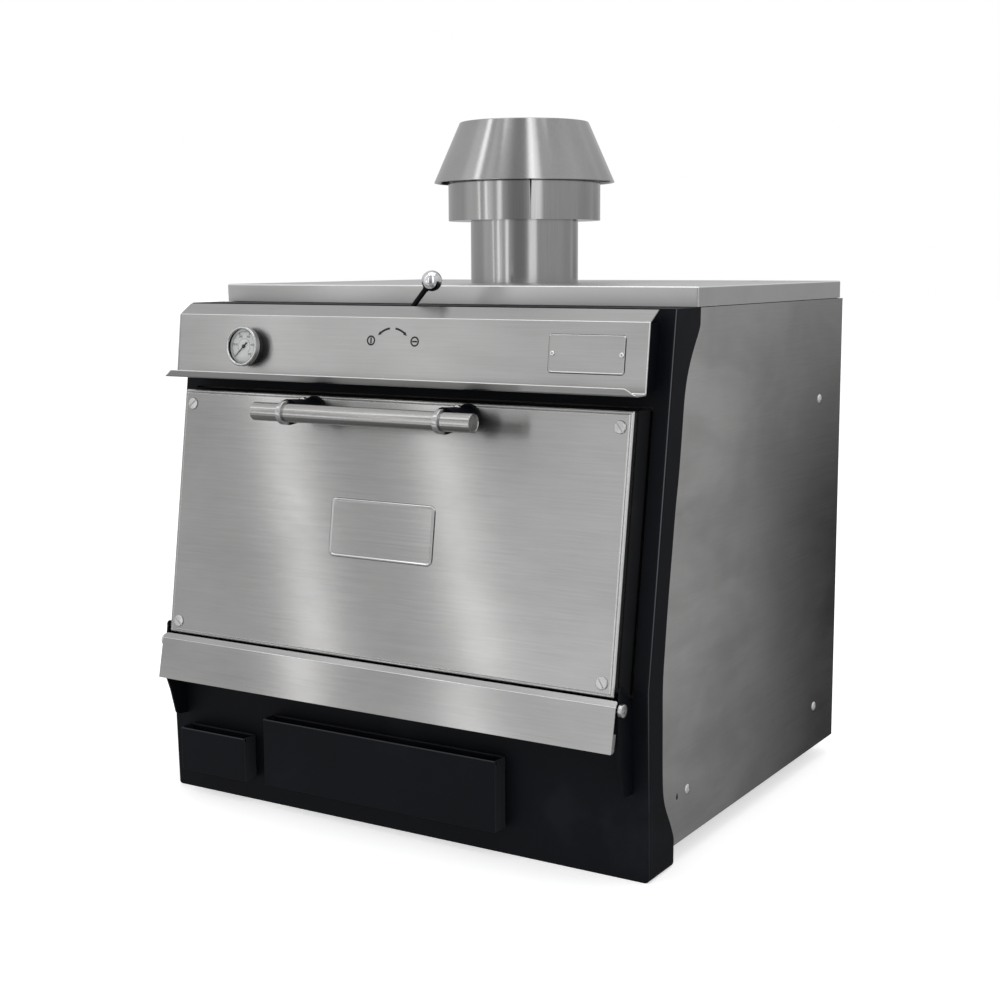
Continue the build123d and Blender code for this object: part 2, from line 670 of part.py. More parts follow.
with BuildPart() as fascia_brackets:
    for x in (-424, -140, 140, 421):
        with BuildSketch(Plane.YZ.offset(x)):
            with BuildLine():
                Polyline(*yz([(-128.6, 799), (-141.6, 706), (-101.6, 706), (-88.0, 799)]), close=True)
            make_face()
        extrude(amount=3)
fascia_brackets.part.label = "fascia_brackets"
export_step(fascia_brackets.part, "parts/fascia_brackets.step")

with BuildPart() as fascia_plate:
    with BuildSketch(FAS):
        with Locations((335, -46.9)):
            RectangleRounded(123, 55, 4)
        with Locations((279.5, -46.9), (391.0, -46.9)):
            Circle(1.6, mode=Mode.SUBTRACT)
    extrude(amount=1)
fascia_plate.part.label = "fascia_plate"
export_step(fascia_plate.part, "parts/fascia_plate.step")

with BuildPart() as plate_rivets:
    with BuildSketch(FAS.offset(1)):
        with Locations((279.5, -46.9), (391.0, -46.9)):
            Circle(3.2)
    extrude(amount=1.2, taper=30)
    with BuildSketch(FAS.offset(1)):
        with Locations((279.5, -46.9), (391.0, -46.9)):
            Circle(1.5)
    extrude(amount=-5)
plate_rivets.part.label = "plate_rivets"
export_step(plate_rivets.part, "parts/plate_rivets.step")

# ---------------------------------------------------------------------- gauge
with BuildPart() as gauge_case:
    with BuildSketch(FAS):
        with Locations(GAUGE):
            Circle(30.4)
    extrude(amount=19)
    with BuildSketch(FAS.offset(5)):
        with Locations(GAUGE):
            Circle(28.6)
    extrude(amount=20, mode=Mode.SUBTRACT)
    with BuildSketch(FAS):
        with Locations(GAUGE):
            Circle(7)
    extrude(amount=-14)
    with BuildSketch(FAS.offset(-15)):
        with Locations(GAUGE):
            Circle(1.6)
    extrude(amount=21, mode=Mode.SUBTRACT)
gauge_case.part.label = "gauge_case"
export_step(gauge_case.part, "parts/gauge_case.step")

with BuildPart() as gauge_bezel:
    with BuildSketch(FAS.offset(12)):
        with Locations(GAUGE):
            Circle(31.8)
            Circle(30.5, mode=Mode.SUBTRACT)
    extrude(amount=10)
    with BuildSketch(FAS.offset(19.1)):
        with Locations(GAUGE):
            Circle(31.8)
            Circle(27.2, mode=Mode.SUBTRACT)
    extrude(amount=2.9)
    chamfer(gauge_bezel.edges().filter_by(GeomType.CIRCLE).sort_by(Axis.Y)[:1], 1)
gauge_bezel.part.label = "gauge_bezel"
export_step(gauge_bezel.part, "parts/gauge_bezel.step")

with BuildPart() as gauge_dial:
    with BuildSketch(FAS.offset(12.5)):
        with Locations(GAUGE):
            Circle(28.4)
            Circle(1.4, mode=Mode.SUBTRACT)
    extrude(amount=0.8)
gauge_dial.part.label = "gauge_dial"
export_step(gauge_dial.part, "parts/gauge_dial.step")

# The pointer rests at the low end of the scale, at 225 degrees from the dial's right.
REST = math.radians(225)
POINTER = [
    (
        GAUGE[0] + u * math.cos(REST) - v * math.sin(REST),
        GAUGE[1] + u * math.sin(REST) + v * math.cos(REST),
    )
    for u, v in ((-8.0, -1.5), (-8.0, 1.5), (22.0, 0.35), (22.0, -0.35))
]
with BuildPart() as gauge_pointer:
    with BuildSketch(FAS.offset(14.4)):
        with BuildLine():
            Polyline(*POINTER, close=True)
        make_face()
        with Locations(GAUGE):
            Circle(3.2)
    extrude(amount=0.8)
    with BuildSketch(FAS.offset(14.4)):
        with Locations(GAUGE):
            Circle(1.35)
    extrude(amount=-6)
gauge_pointer.part.label = "gauge_pointer"
export_step(gauge_pointer.part, "parts/gauge_pointer.step")

with BuildPart() as gauge_glass:
    with BuildSketch(FAS.offset(17.2)):
        with Locations(GAUGE):
            Circle(28.5)
    extrude(amount=1.7)
gauge_glass.part.label = "gauge_glass"
export_step(gauge_glass.part, "parts/gauge_glass.step")

TAIL = FAS.from_local_coords((GAUGE[0], GAUGE[1], -14.1))
with BuildPart() as gauge_probe:
    with BuildLine() as probe_path:
        FilletPolyline(
            (GAUGE[0], TAIL.Y, TAIL.Z), (GAUGE[0], Y(-100), 745.4), (GAUGE[0], Y(-84), 745.4),
            (GAUGE[0], Y(-40), 760), (GAUGE[0], Y(40), 760), (GAUGE[0], Y(40), 684), radius=6,
        )
    with BuildSketch(Plane(origin=probe_path.line @ 0, z_dir=probe_path.line % 0)):
        Circle(1.5)
    sweep()
    with BuildSketch(Plane.XY.offset(684)):
        with Locations((GAUGE[0], Y(40))):
            Circle(4)
    extrude(amount=-40)
gauge_probe.part.label = "gauge_probe"
export_step(gauge_probe.part, "parts/gauge_probe.step")

# ----------------------------------------------------------------------- door
SKIN_MID = (SKIN_LOW + SKIN_HIGH) / 2
SKIN_H = SKIN_HIGH - SKIN_LOW
DOOR_SCREWS = [(-395, 369.1), (395, 369.1), (-395, 9.4), (395, 9.4)]
POCKET = (760.0, 330.0, 190.0)

with BuildPart() as door_skin:
    with BuildSketch(FACE.offset(RETURN_N)):
        with Locations((0, SKIN_MID)):
            Rectangle(2 * (SKIN_X + BEVEL), SKIN_H + 2 * BEVEL)
    extrude(amount=SKIN_N - RETURN_N)
    chamfer(
        door_skin.edges().filter_by(lambda e: abs(FACE.to_local_coords(e.center()).Z - SKIN_N) < 0.01),
        BEVEL,
    )
    with BuildSketch(FACE.offset(RETURN_N)):
        with Locations((0, SKIN_MID)):
            Rectangle(2 * (SKIN_X + BEVEL) - 2 * SHEET_T, SKIN_H + 2 * BEVEL - 2 * SHEET_T)
    extrude(amount=11.1, mode=Mode.SUBTRACT)
    with BuildSketch(FACE.offset(RETURN_N)):
        with Locations((0, SKIN_MID)):
            Rectangle(2 * SKIN_X - 1.4, SKIN_H - 1.4)
    extrude(amount=13.5, mode=Mode.SUBTRACT)
    with BuildSketch(FACE.offset(SKIN_N + 1)):
        with Locations(*DOOR_SCREWS):
            Circle(5.2)
    extrude(amount=-5, mode=Mode.SUBTRACT)
    with BuildSketch(Plane.YZ.offset(-500)):
        with Locations((PIVOT.Y, PIVOT.Z)):
            Circle(PIN_R + 0.1)
    extrude(amount=1000, mode=Mode.SUBTRACT)
door_skin.part.label = "door_skin"
export_step(door_skin.part, "parts/door_skin.step")

BODY_TOP_S, BODY_LOW_S, BODY_X = 398.5, -10.4, 420.0
with BuildPart() as door_body:
    with BuildSketch(FACE):
        with Locations((0, (BODY_TOP_S + BODY_LOW_S) / 2)):
            Rectangle(2 * BODY_X, BODY_TOP_S - BODY_LOW_S)
    with BuildSketch(FACE.offset(RETURN_N - 0.1)):
        with Locations((0, SKIN_MID)):
            Rectangle(2 * (SKIN_X + BEVEL), SKIN_H + 2 * BEVEL)
    loft()
    with BuildSketch(FACE):
        with Locations((0, 193)):
            Rectangle(836, 402)
    extrude(amount=-10)
    with BuildSketch(FACE.offset(RETURN_N - 0.1)):
        with Locations((0, SKIN_MID)):
            Rectangle(2 * SKIN_X - 1.8, SKIN_H - 1.8)
    extrude(amount=SKIN_N - SHEET_T - 0.1 - RETURN_N + 0.1)
    with BuildSketch(FACE.offset(50)):
        with Locations((0, POCKET[2])):
            Rectangle(POCKET[0], POCKET[1])
    extrude(amount=-80, mode=Mode.SUBTRACT)
    with BuildSketch(FACE.offset(50)):
        with Locations(*DOOR_SCREWS):
            Circle(5.2)
    extrude(amount=-38, mode=Mode.SUBTRACT)
    with BuildSketch(Plane.YZ.offset(-500)):
        with Locations((PIVOT.Y, PIVOT.Z)):
            Circle(PIN_R)
    extrude(amount=1000, mode=Mode.SUBTRACT)
door_body.part.label = "door_body"
export_step(door_body.part, "parts/door_body.step")

with BuildPart() as door_insulation:
    with BuildSketch(FACE.offset(-5.9)):
        with Locations((0, POCKET[2])):
            Rectangle(POCKET[0] - 1, POCKET[1] - 1)
    extrude(amount=43.5)
door_insulation.part.label = "door_insulation"
export_step(door_insulation.part, "parts/door_insulation.step")

with BuildPart() as door_liner:
    with BuildSketch(FACE.offset(-10)):
        with Locations((0, POCKET[2])):
            Rectangle(POCKET[0] - 0.4, POCKET[1] - 0.4)
    extrude(amount=4)
door_liner.part.label = "door_liner"
export_step(door_liner.part, "parts/door_liner.step")

with BuildPart() as door_gasket:
    with BuildSketch(FACE.offset(-10.1)):
        with Locations((0, 195)):
            RectangleRounded(736, 392, 14)
            RectangleRounded(712, 368, 8, mode=Mode.SUBTRACT)
    extrude(amount=-5.7)
door_gasket.part.label = "door_gasket"
export_step(door_gasket.part, "parts/door_gasket.step")

with BuildPart() as door_plate:
    with BuildSketch(FACE.offset(SKIN_N)):
        with Locations((0, 190.5)):
            RectangleRounded(194, 91.5, 10)
    extrude(amount=1.4)
    chamfer(
        door_plate.edges().filter_by(lambda e: abs(FACE.to_local_coords(e.center()).Z - SKIN_N - 1.4) < 0.01),
        0.6,
    )
door_plate.part.label = "door_plate"
export_step(door_plate.part, "parts/door_plate.step")

with BuildPart() as door_screws:
    with BuildSketch(FACE.offset(SKIN_N)):
        with Locations(*DOOR_SCREWS):
            Circle(9.6)
    extrude(amount=2.4, taper=28)
    with BuildSketch(FACE.offset(SKIN_N + 2.4)):
        with Locations(Location((-395, 369.1, 0), (0, 0, 60)), Location((395, 369.1, 0), (0, 0, -35)),
                       Location((-395, 9.4, 0), (0, 0, 55)), Location((395, 9.4, 0), (0, 0, -40))):
            Rectangle(24, 1.8)
    extrude(amount=-1.2, mode=Mode.SUBTRACT)
    with BuildSketch(FACE.offset(SKIN_N)):
        with Locations(*DOOR_SCREWS):
            Circle(5)
    extrude(amount=-27)
door_screws.part.label = "door_screws"
export_step(door_screws.part, "parts/door_screws.step")

# --------------------------------------------------------------------- handle
with BuildPart() as handle_bar:
    with BuildSketch(Plane.YZ.offset(-HANDLE_HALF)):
        with Locations((Y(HANDLE_Y), HANDLE_Z)):
            Circle(HANDLE_R)
    extrude(amount=2 * HANDLE_HALF)
    chamfer(handle_bar.edges().filter_by(GeomType.CIRCLE), 1.5)
handle_bar.part.label = "handle_bar"
export_step(handle_bar.part, "parts/handle_bar.step")

with BuildPart() as handle_collars:
    for x in (-COLLAR_X, COLLAR_X):
        with BuildSketch(Plane.YZ.offset(x - COLLAR_W / 2)):
            with Locations((Y(HANDLE_Y), HANDLE_Z)):
                Circle(COLLAR_R)
        extrude(amount=COLLAR_W)
    fillet(handle_collars.edges().filter_by(GeomType.CIRCLE), 3)
    with BuildSketch(Plane.YZ.offset(-300)):
        with Locations((Y(HANDLE_Y), HANDLE_Z)):
            Circle(HANDLE_R)
    extrude(amount=600, mode=Mode.SUBTRACT)
handle_collars.part.label = "handle_collars"
export_step(handle_collars.part, "parts/handle_collars.step")

# Each post lies level, from its round flange on the sloping door to the bar and its collar.
POST_S = (HANDLE_Z - BEND_Z - SKIN_N * SA) / CA
POST_R = 18.0
SET_Y = -178.0
with BuildPart() as handle_posts:
    with BuildSketch(front_plane(-120)):
        with Locations((-COLLAR_X, HANDLE_Z), (COLLAR_X, HANDLE_Z)):
            Circle(POST_R)
    extrude(amount=94)
    with BuildSketch(FACE.offset(SKIN_N)):
        with Locations((0, POST_S)):
            Rectangle(500, 120)
    extrude(amount=-80, mode=Mode.SUBTRACT)
    with BuildSketch(FACE.offset(SKIN_N)):
        with Locations((-COLLAR_X, POST_S), (COLLAR_X, POST_S)):
            Circle(20)
    extrude(amount=5)
    with BuildSketch(Plane.YZ.offset(-300)):
        with Locations((Y(HANDLE_Y), HANDLE_Z)):
            Circle(HANDLE_R)
    extrude(amount=600, mode=Mode.SUBTRACT)
    for x in (-COLLAR_X, COLLAR_X):
        with BuildSketch(Plane.YZ.offset(x - COLLAR_W / 2)):
            with Locations((Y(HANDLE_Y), HANDLE_Z)):
                Circle(COLLAR_R)
        extrude(amount=COLLAR_W, mode=Mode.SUBTRACT)
    with BuildSketch(Plane.XY.offset(HANDLE_Z + POST_R - 0.9)):
        with Locations((-COLLAR_X, Y(SET_Y)), (COLLAR_X, Y(SET_Y))):
            Circle(5.8)
    extrude(amount=6, mode=Mode.SUBTRACT)
    with BuildSketch(Plane.XY.offset(HANDLE_Z + POST_R - 11)):
        with Locations((-COLLAR_X, Y(SET_Y)), (COLLAR_X, Y(SET_Y))):
            Circle(2.6)
    extrude(amount=12, mode=Mode.SUBTRACT)
handle_posts.part.label = "handle_posts"
export_step(handle_posts.part, "parts/handle_posts.step")

with BuildPart() as handle_screws:
    with BuildSketch(Plane.XY.offset(HANDLE_Z + POST_R - 0.9)):
        with Locations((-COLLAR_X, Y(SET_Y)), (COLLAR_X, Y(SET_Y))):
            Circle(5.6)
    extrude(amount=3.6, taper=30)
    with BuildSketch(Plane.XY.offset(HANDLE_Z + POST_R - 10.5)):
        with Locations((-COLLAR_X, Y(SET_Y)), (COLLAR_X, Y(SET_Y))):
            Circle(2.5)
    extrude(amount=9.6)
handle_screws.part.label = "handle_screws"
export_step(handle_screws.part, "parts/handle_screws.step")

# ------------------------------------------------- hinges and lip under the door
GUSSET_X0, GUSSET_T = 417.6, 6.0
PY, PZ = PIVOT.Y + DEPTH_MID, PIVOT.Z
for side, name in ((-1, "hinge_bracket_left"), (1, "hinge_bracket_right")):
    with BuildPart() as hinge_bracket:
        with BuildSketch(Plane.YZ.offset(side * GUSSET_X0 if side > 0 else -GUSSET_X0 - GUSSET_T)):
            with BuildLine():
                Polyline(
                    *yz([
                        (PY - 9, PZ), (-201.5, 272), (-205, 262), (-206, 202), (-197, 178), (-186, 137),
                        (-181, 133), (-158.9, 131), (-162.4, 262), (-168, 270), (PY + 9, PZ - 8), (PY + 9, PZ),
                    ]),
                    close=True,
                )
            make_face()
            with Locations((PIVOT.Y, PZ)):
                Circle(9)
            with Locations((PIVOT.Y, PZ)):
                Circle(PIN_R + RUN, mode=Mode.SUBTRACT)
            with Locations((Y(-198), 264)):
                Circle(4.2, mode=Mode.SUBTRACT)
        extrude(amount=GUSSET_T)
    hinge_bracket.part.label = name
    export_step(hinge_bracket.part, "parts/" + name + ".step")

with BuildPart() as hinge_pins:
    for x in (-424.6, 402.0):
        with BuildSketch(Plane.YZ.offset(x)):
            with Locations((PIVOT.Y, PIVOT.Z)):
                Circle(PIN_R)
        extrude(amount=22.6)
hinge_pins.part.label = "hinge_pins"
export_step(hinge_pins.part, "parts/hinge_pins.step")

with BuildPart() as bracket_bolts:
    for side in (-1, 1):
        base = Plane(origin=(side * (GUSSET_X0 + GUSSET_T), Y(-198), 264), x_dir=(0, 1, 0), z_dir=(side, 0, 0))
        with BuildSketch(base):
            Circle(10)
        extrude(amount=6)
        with BuildSketch(base.offset(6)):
            RegularPolygon(4.5, 6)
        extrude(amount=-3.5, mode=Mode.SUBTRACT)
        with BuildSketch(base):
            Circle(4)
        extrude(amount=-10)
    chamfer(
        bracket_bolts.edges().filter_by(GeomType.CIRCLE).filter_by(
            lambda e: abs(abs(e.center().X) - GUSSET_X0 - GUSSET_T - 6) < 0.01 and abs(e.radius - 10) < 0.01
        ),
        1.2,
    )
bracket_bolts.part.label = "bracket_bolts"
export_step(bracket_bolts.part, "parts/bracket_bolts.step")

LIP_HALF = 422.0
LIP = [(-203.5, 278.2), (-210.4, 270.9), (-224, 206.3)]
with BuildPart() as sill_lip:
    with BuildSketch(Plane.YZ.offset(-LIP_HALF)):
        with BuildLine():
            Polyline(*sheet(yz(LIP), SHEET_T), close=True)
        make_face()
    extrude(amount=2 * LIP_HALF)
    with BuildSketch(Plane.YZ.offset(-LIP_HALF + 7)):
        with BuildLine():
            Polyline(
                *sheet(yz([(-163.0, 262.5), (-186, 266.5), (-203.5, 278.2), (-206, 275.6)]), SHEET_T),
                close=True,
            )
        make_face()
    extrude(amount=2 * (LIP_HALF - 7))
    for x in (-LIP_HALF, LIP_HALF - SHEET_T):
        with BuildSketch(Plane.YZ.offset(x)):
            with BuildLine():
                Polyline(*yz([(-223.3, 206.6), (-217.4, 234), (-208.5, 232), (-214.5, 207), (-219, 205)]), close=True)
            make_face()
        extrude(amount=SHEET_T)
sill_lip.part.label = "sill_lip"
export_step(sill_lip.part, "parts/sill_lip.step")
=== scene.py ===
import math

import bmesh
import bpy
from mathutils import Matrix, Vector
from mathutils.geometry import tessellate_polygon


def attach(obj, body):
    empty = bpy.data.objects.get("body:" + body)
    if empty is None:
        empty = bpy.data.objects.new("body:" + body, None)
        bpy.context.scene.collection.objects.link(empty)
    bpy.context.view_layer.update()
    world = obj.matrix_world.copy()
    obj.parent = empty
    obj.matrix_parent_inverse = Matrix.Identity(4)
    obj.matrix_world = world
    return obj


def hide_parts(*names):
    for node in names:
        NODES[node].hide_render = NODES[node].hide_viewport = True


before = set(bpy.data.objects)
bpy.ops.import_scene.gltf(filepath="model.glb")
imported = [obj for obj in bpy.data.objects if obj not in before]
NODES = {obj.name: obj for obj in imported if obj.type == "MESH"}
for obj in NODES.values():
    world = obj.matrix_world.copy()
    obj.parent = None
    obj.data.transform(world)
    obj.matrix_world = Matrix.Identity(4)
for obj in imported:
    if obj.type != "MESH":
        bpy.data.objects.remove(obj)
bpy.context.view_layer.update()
scene = bpy.context.scene

# Drawing units are mm, with depth measured from the lid's front face.
MID = 176.2


def M(x, y, z):
    return Vector((x / 1000, (y - MID) / 1000, z / 1000))


class Face:
    """A local frame on the object: x across, s up the face, n outwards, in mm."""

    def __init__(self, origin, x, s, n):
        self.o, self.x, self.s, self.n = origin, Vector(x), Vector(s), Vector(n)

    def at(self, x, s, n=0.0):
        return self.o + (self.x * x + self.s * s + self.n * n) / 1000


SLOPE = math.atan2(78, 534)
DOOR = Face(M(0, -163, 285), (1, 0, 0), (0, math.sin(SLOPE), math.cos(SLOPE)), (0, -math.cos(SLOPE), math.sin(SLOPE)))
TILT = math.atan2(12.2, 99.5)
FAS = Face(M(0, -132, 802), (1, 0, 0), (0, math.sin(TILT), math.cos(TILT)), (0, -math.cos(TILT), math.sin(TILT)))
SIDE = Face(M(448, 0, 0), (0, 1, 0), (0, 0, 1), (1, 0, 0))
LEFT = Face(M(-448, 0, 0), (0, -1, 0), (0, 0, 1), (-1, 0, 0))
REAR = Face(M(0, 592.4, 0), (-1, 0, 0), (0, 0, 1), (0, 1, 0))

# ------------------------------------------------------------------ materials


class Net:
    """A small helper to write node trees in a few lines."""

    def __init__(self, name):
        self.mat = bpy.data.materials.new(name)
        self.mat.use_nodes = True
        self.t = self.mat.node_tree
        self.bsdf = self.t.nodes["Principled BSDF"]
        self.coord = self.t.nodes.new("ShaderNodeTexCoord").outputs["Object"]

    def node(self, kind, **props):
        n = self.t.nodes.new(kind)
        for k, v in props.items():
            setattr(n, k, v)
        return n

    def link(self, a, b):
        self.t.links.new(a, b)

    def noise(self, scale, detail=2.0, rough=0.5, stretch=(1, 1, 1), shift=(0, 0, 0), distortion=0.0):
        m = self.node("ShaderNodeMapping")
        m.inputs["Scale"].default_value = stretch
        m.inputs["Location"].default_value = shift
        self.link(self.coord, m.inputs["Vector"])
        n = self.node("ShaderNodeTexNoise")
        n.inputs["Scale"].default_value = scale
        n.inputs["Detail"].default_value = detail
        n.inputs["Roughness"].default_value = rough
        n.inputs["Distortion"].default_value = distortion
        self.link(m.outputs["Vector"], n.inputs["Vector"])
        return n.outputs["Fac"]

    def math(self, op, a, b=0.0, clamp=False):
        n = self.node("ShaderNodeMath", operation=op, use_clamp=clamp)
        for i, v in enumerate((a, b)):
            if isinstance(v, (int, float)):
                n.inputs[i].default_value = v
            else:
                self.link(v, n.inputs[i])
        return n.outputs[0]

    def remap(self, v, a0, a1, b0, b1, smooth=False):
        n = self.node("ShaderNodeMapRange", interpolation_type="SMOOTHSTEP" if smooth else "LINEAR")
        self.link(v, n.inputs["Value"])
        for k, x in zip(("From Min", "From Max", "To Min", "To Max"), (a0, a1, b0, b1)):
            n.inputs[k].default_value = x
        return n.outputs["Result"]

    def ramp(self, v, stops):
        n = self.node("ShaderNodeValToRGB")
        e = n.color_ramp.elements
        while len(e) < len(stops):
            e.new(0.5)
        for el, (p, c) in zip(e, stops):
            el.position = p
            el.color = (*c, 1)
        self.link(v, n.inputs["Fac"])
        return n.outputs["Color"]

    def bump(self, height, strength, distance, normal=None):
        n = self.node("ShaderNodeBump")
        n.inputs["Strength"].default_value = strength
        n.inputs["Distance"].default_value = distance
        self.link(height, n.inputs["Height"])
        if normal is not None:
            self.link(normal, n.inputs["Normal"])
        return n.outputs["Normal"]

    def set(self, **values):
        for k, v in values.items():
            s = self.bsdf.inputs[k.replace("_", " ")]
            if isinstance(v, bpy.types.NodeSocket):
                self.link(v, s)
            else:
                s.default_value = (*v, 1) if isinstance(v, tuple) and len(v) == 3 else v
        return self


def brushed(name, along, tone, rough=0.24, aniso=0.75, grain=0.05, patch=0.05, warp=0.0, seed=0.0, relief=0.2, bend_highlight=None):
    """Sheet steel brushed along one axis ("x", "y", "z"), with faint handling marks and very fine lines."""
    n = Net(name)
    axis = "xyz".index(along)
    fine, mid, wide = [1500.0] * 3, [420.0] * 3, [10.0] * 3
    fine[axis], mid[axis], wide[axis] = 14.0, 7.0, 4.0
    hair = n.noise(1.0, 2.0, 0.6, tuple(fine), (seed, 0, 0))
    band = n.noise(1.0, 3.0, 0.6, tuple(mid), (0, seed, 0))
    cloud = n.noise(1.0, 3.0, 0.55, tuple(wide), (0, seed, 3.1), 0.4)
    smudge = n.noise(5.0, 5.0, 0.6, (1, 1, 1), (2.7, 0, seed), 0.4)
    a = n.remap(hair, 0.25, 0.75, -grain, grain)
    b = n.remap(band, 0.3, 0.7, -grain * 0.7, grain * 0.7)
    c = n.remap(cloud, 0.3, 0.7, -patch, patch, True)
    d = n.remap(smudge, 0.35, 0.7, -patch * 0.6, patch * 0.6, True)
    total = n.math("ADD", n.math("ADD", a, b), n.math("ADD", c, d))
    v = n.math("ADD", total, 0.5)
    dark = tuple(x * 0.55 for x in tone)
    light = tuple(min(1.0, x * 1.45) for x in tone)
    color = n.ramp(v, [(0.0, dark), (0.5, tone), (1.0, light)])
    r = n.remap(n.math("ADD", n.math("MULTIPLY", c, -0.6), n.math("MULTIPLY", b, 0.8)), -0.2, 0.2, rough - 0.06, rough + 0.06)
    height = n.math("ADD", n.math("MULTIPLY", hair, 0.6), n.math("MULTIPLY", band, 0.5))
    normal = n.bump(height, relief, 0.00005)
    if warp:
        normal = n.bump(n.noise(2.3, 1.0, 0.4, (1, 1, 1), (seed, 1.3, 0)), warp, 0.004, normal)
    n.set(Base_Color=color, Metallic=1.0, Roughness=r, Anisotropic=aniso, Normal=normal)
    # the highlight stretches across the brushing; the axis leans a little so that no face is left without a direction
    g = n.node("ShaderNodeNewGeometry")
    if bend_highlight:
        # painted highlight: bends that face half upwards are painted bright
        part = n.node("ShaderNodeSeparateXYZ")
        n.link(g.outputs["Normal"], part.inputs[0])
        highlight_share = n.math("MULTIPLY", n.remap(part.outputs["Z"], bend_highlight[0], bend_highlight[1], 0.0, 1.0), n.remap(part.outputs["Z"], bend_highlight[2], bend_highlight[3], 1.0, 0.0))
        m = n.node("ShaderNodeMix", data_type="RGBA")
        n.link(highlight_share, m.inputs["Factor"])
        n.link(color, m.inputs["A"])
        m.inputs["B"].default_value = (0.92, 0.92, 0.91, 1)
        n.link(m.outputs["Result"], n.bsdf.inputs["Base Color"])
    x = n.node("ShaderNodeVectorMath", operation="CROSS_PRODUCT")
    n.link(g.outputs["Normal"], x.inputs[0])
    x.inputs[1].default_value = tuple(1.0 if i == axis else 0.02 * (1 + i) for i in range(3))
    n.link(x.outputs["Vector"], n.bsdf.inputs["Tangent"])
    return n.mat


STEEL = (0.44, 0.436, 0.43)
steel_x = brushed("steel_brushed_across", "x", STEEL, rough=0.2, warp=0.1, bend_highlight=(0.3, 0.38, 0.58, 0.66))
# the lid's copy has a lighter tone than the door's: painted light, lifting the lid to the brightness it has under its
# light
steel_lid = brushed("steel_brushed_lid", "x", (0.55, 0.546, 0.54), rough=0.3, grain=0.02, patch=0.03, seed=4.0, warp=0.03, relief=0.05, bend_highlight=(0.2, 0.3, 0.86, 0.94))
steel_y = brushed("steel_brushed_side", "y", (0.40, 0.395, 0.387), rough=0.14, aniso=0.5, patch=0.1, seed=9.0, warp=0.14)
steel_z = brushed("steel_brushed_flue", "z", (0.41, 0.408, 0.402), rough=0.14, aniso=0.0, grain=0.05, patch=0.04, seed=2.0, warp=0.06)
# the fascia's slightly lighter tone is painted light as well
steel_fascia = brushed("steel_brushed_fascia", "x", (0.465, 0.461, 0.455), rough=0.3, aniso=0.45, seed=6.0, warp=0.1, bend_highlight=(0.3, 0.38, 0.62, 0.72))


def turned(name, tone, rough=0.17, aniso=0.7):
    """Steel turned on a lathe: fine lines round the X axis, so the end faces shine in two opposite wedges."""
    n = Net(name)
    hair = n.noise(1.0, 3.0, 0.6, (2600.0, 60.0, 60.0))
    soft = n.noise(22.0, 4.0, 0.6)
    drawn = n.noise(1.0, 2.0, 0.5, (0.9, 380.0, 380.0), (0.4, 0, 0))
    v = n.math("ADD", n.remap(hair, 0.3, 0.7, 0.46, 0.54), n.remap(soft, 0.3, 0.7, -0.015, 0.015))
    v = n.math("ADD", v, n.remap(drawn, 0.32, 0.68, -0.33, 0.33))
    # painted shade on the underside of a handle and a painted highlight on its top, by the normal's height
    s = n.node("ShaderNodeNewGeometry")
    part = n.node("ShaderNodeSeparateXYZ")
    n.link(s.outputs["Normal"], part.inputs[0])
    v = n.math("SUBTRACT", v, n.remap(part.outputs["Z"], -0.75, -0.05, 0.26, 0.0))
    v = n.math("ADD", v, n.remap(part.outputs["Z"], 0.35, 0.8, 0.0, 0.12))
    color = n.ramp(v, [(0.2, tuple(x * 0.62 for x in tone)), (0.5, tone), (0.8, tuple(min(1.0, x * 1.2) for x in tone))])
    n.set(Base_Color=color, Metallic=1.0, Roughness=n.remap(hair, 0.3, 0.7, rough - 0.04, rough + 0.04), Anisotropic=aniso, Normal=n.bump(hair, 0.15, 0.00004))
    g = n.node("ShaderNodeTangent", direction_type="RADIAL", axis="X")
    c = n.node("ShaderNodeVectorMath", operation="CROSS_PRODUCT")
    n.link(s.outputs["Normal"], c.inputs[0])
    n.link(g.outputs["Tangent"], c.inputs[1])
    n.link(c.outputs["Vector"], n.bsdf.inputs["Tangent"])
    return n.mat


steel_turned = turned("steel_turned", (0.47, 0.465, 0.455))


def polished(name, tone, rough, wear=0.02, scale=60.0):
    n = Net(name)
    s = n.noise(scale, 4.0, 0.6)
    f = n.noise(scale * 14, 2.0, 0.6)
    color = n.ramp(s, [(0.3, tuple(x * 0.9 for x in tone)), (0.7, tuple(min(1, x * 1.05) for x in tone))])
    n.set(Base_Color=color, Metallic=1.0, Roughness=n.remap(s, 0.3, 0.7, max(0.02, rough - wear), rough + wear), Normal=n.bump(f, 0.05, 0.00008))
    return n.mat


chrome = polished("chrome", (0.78, 0.78, 0.79), 0.045, 0.02)
fastener = polished("fastener_steel", (0.62, 0.61, 0.59), 0.2, 0.06)
screw_mat = polished("screw_steel", (0.66, 0.655, 0.645), 0.3, 0.05)
bezel_mat = polished("bezel_steel", (0.55, 0.55, 0.545), 0.18, 0.05)
brass = polished("brass", (0.55, 0.4, 0.17), 0.35, 0.08)
# painted highlight: a bright copy of the steel for bevels and rolled edges
steel_highlight_edge = polished("steel_painted_highlight_edge", (0.88, 0.88, 0.87), 0.45, 0.05)
# painted shade: a dark copy of the steel for a shadow line round pressed plates
steel_shade_rim = polished("steel_painted_shade_rim", (0.06, 0.06, 0.062), 0.5, 0.05)
rivet_mat = polished("rivet_steel", (0.85, 0.85, 0.84), 0.32, 0.05)


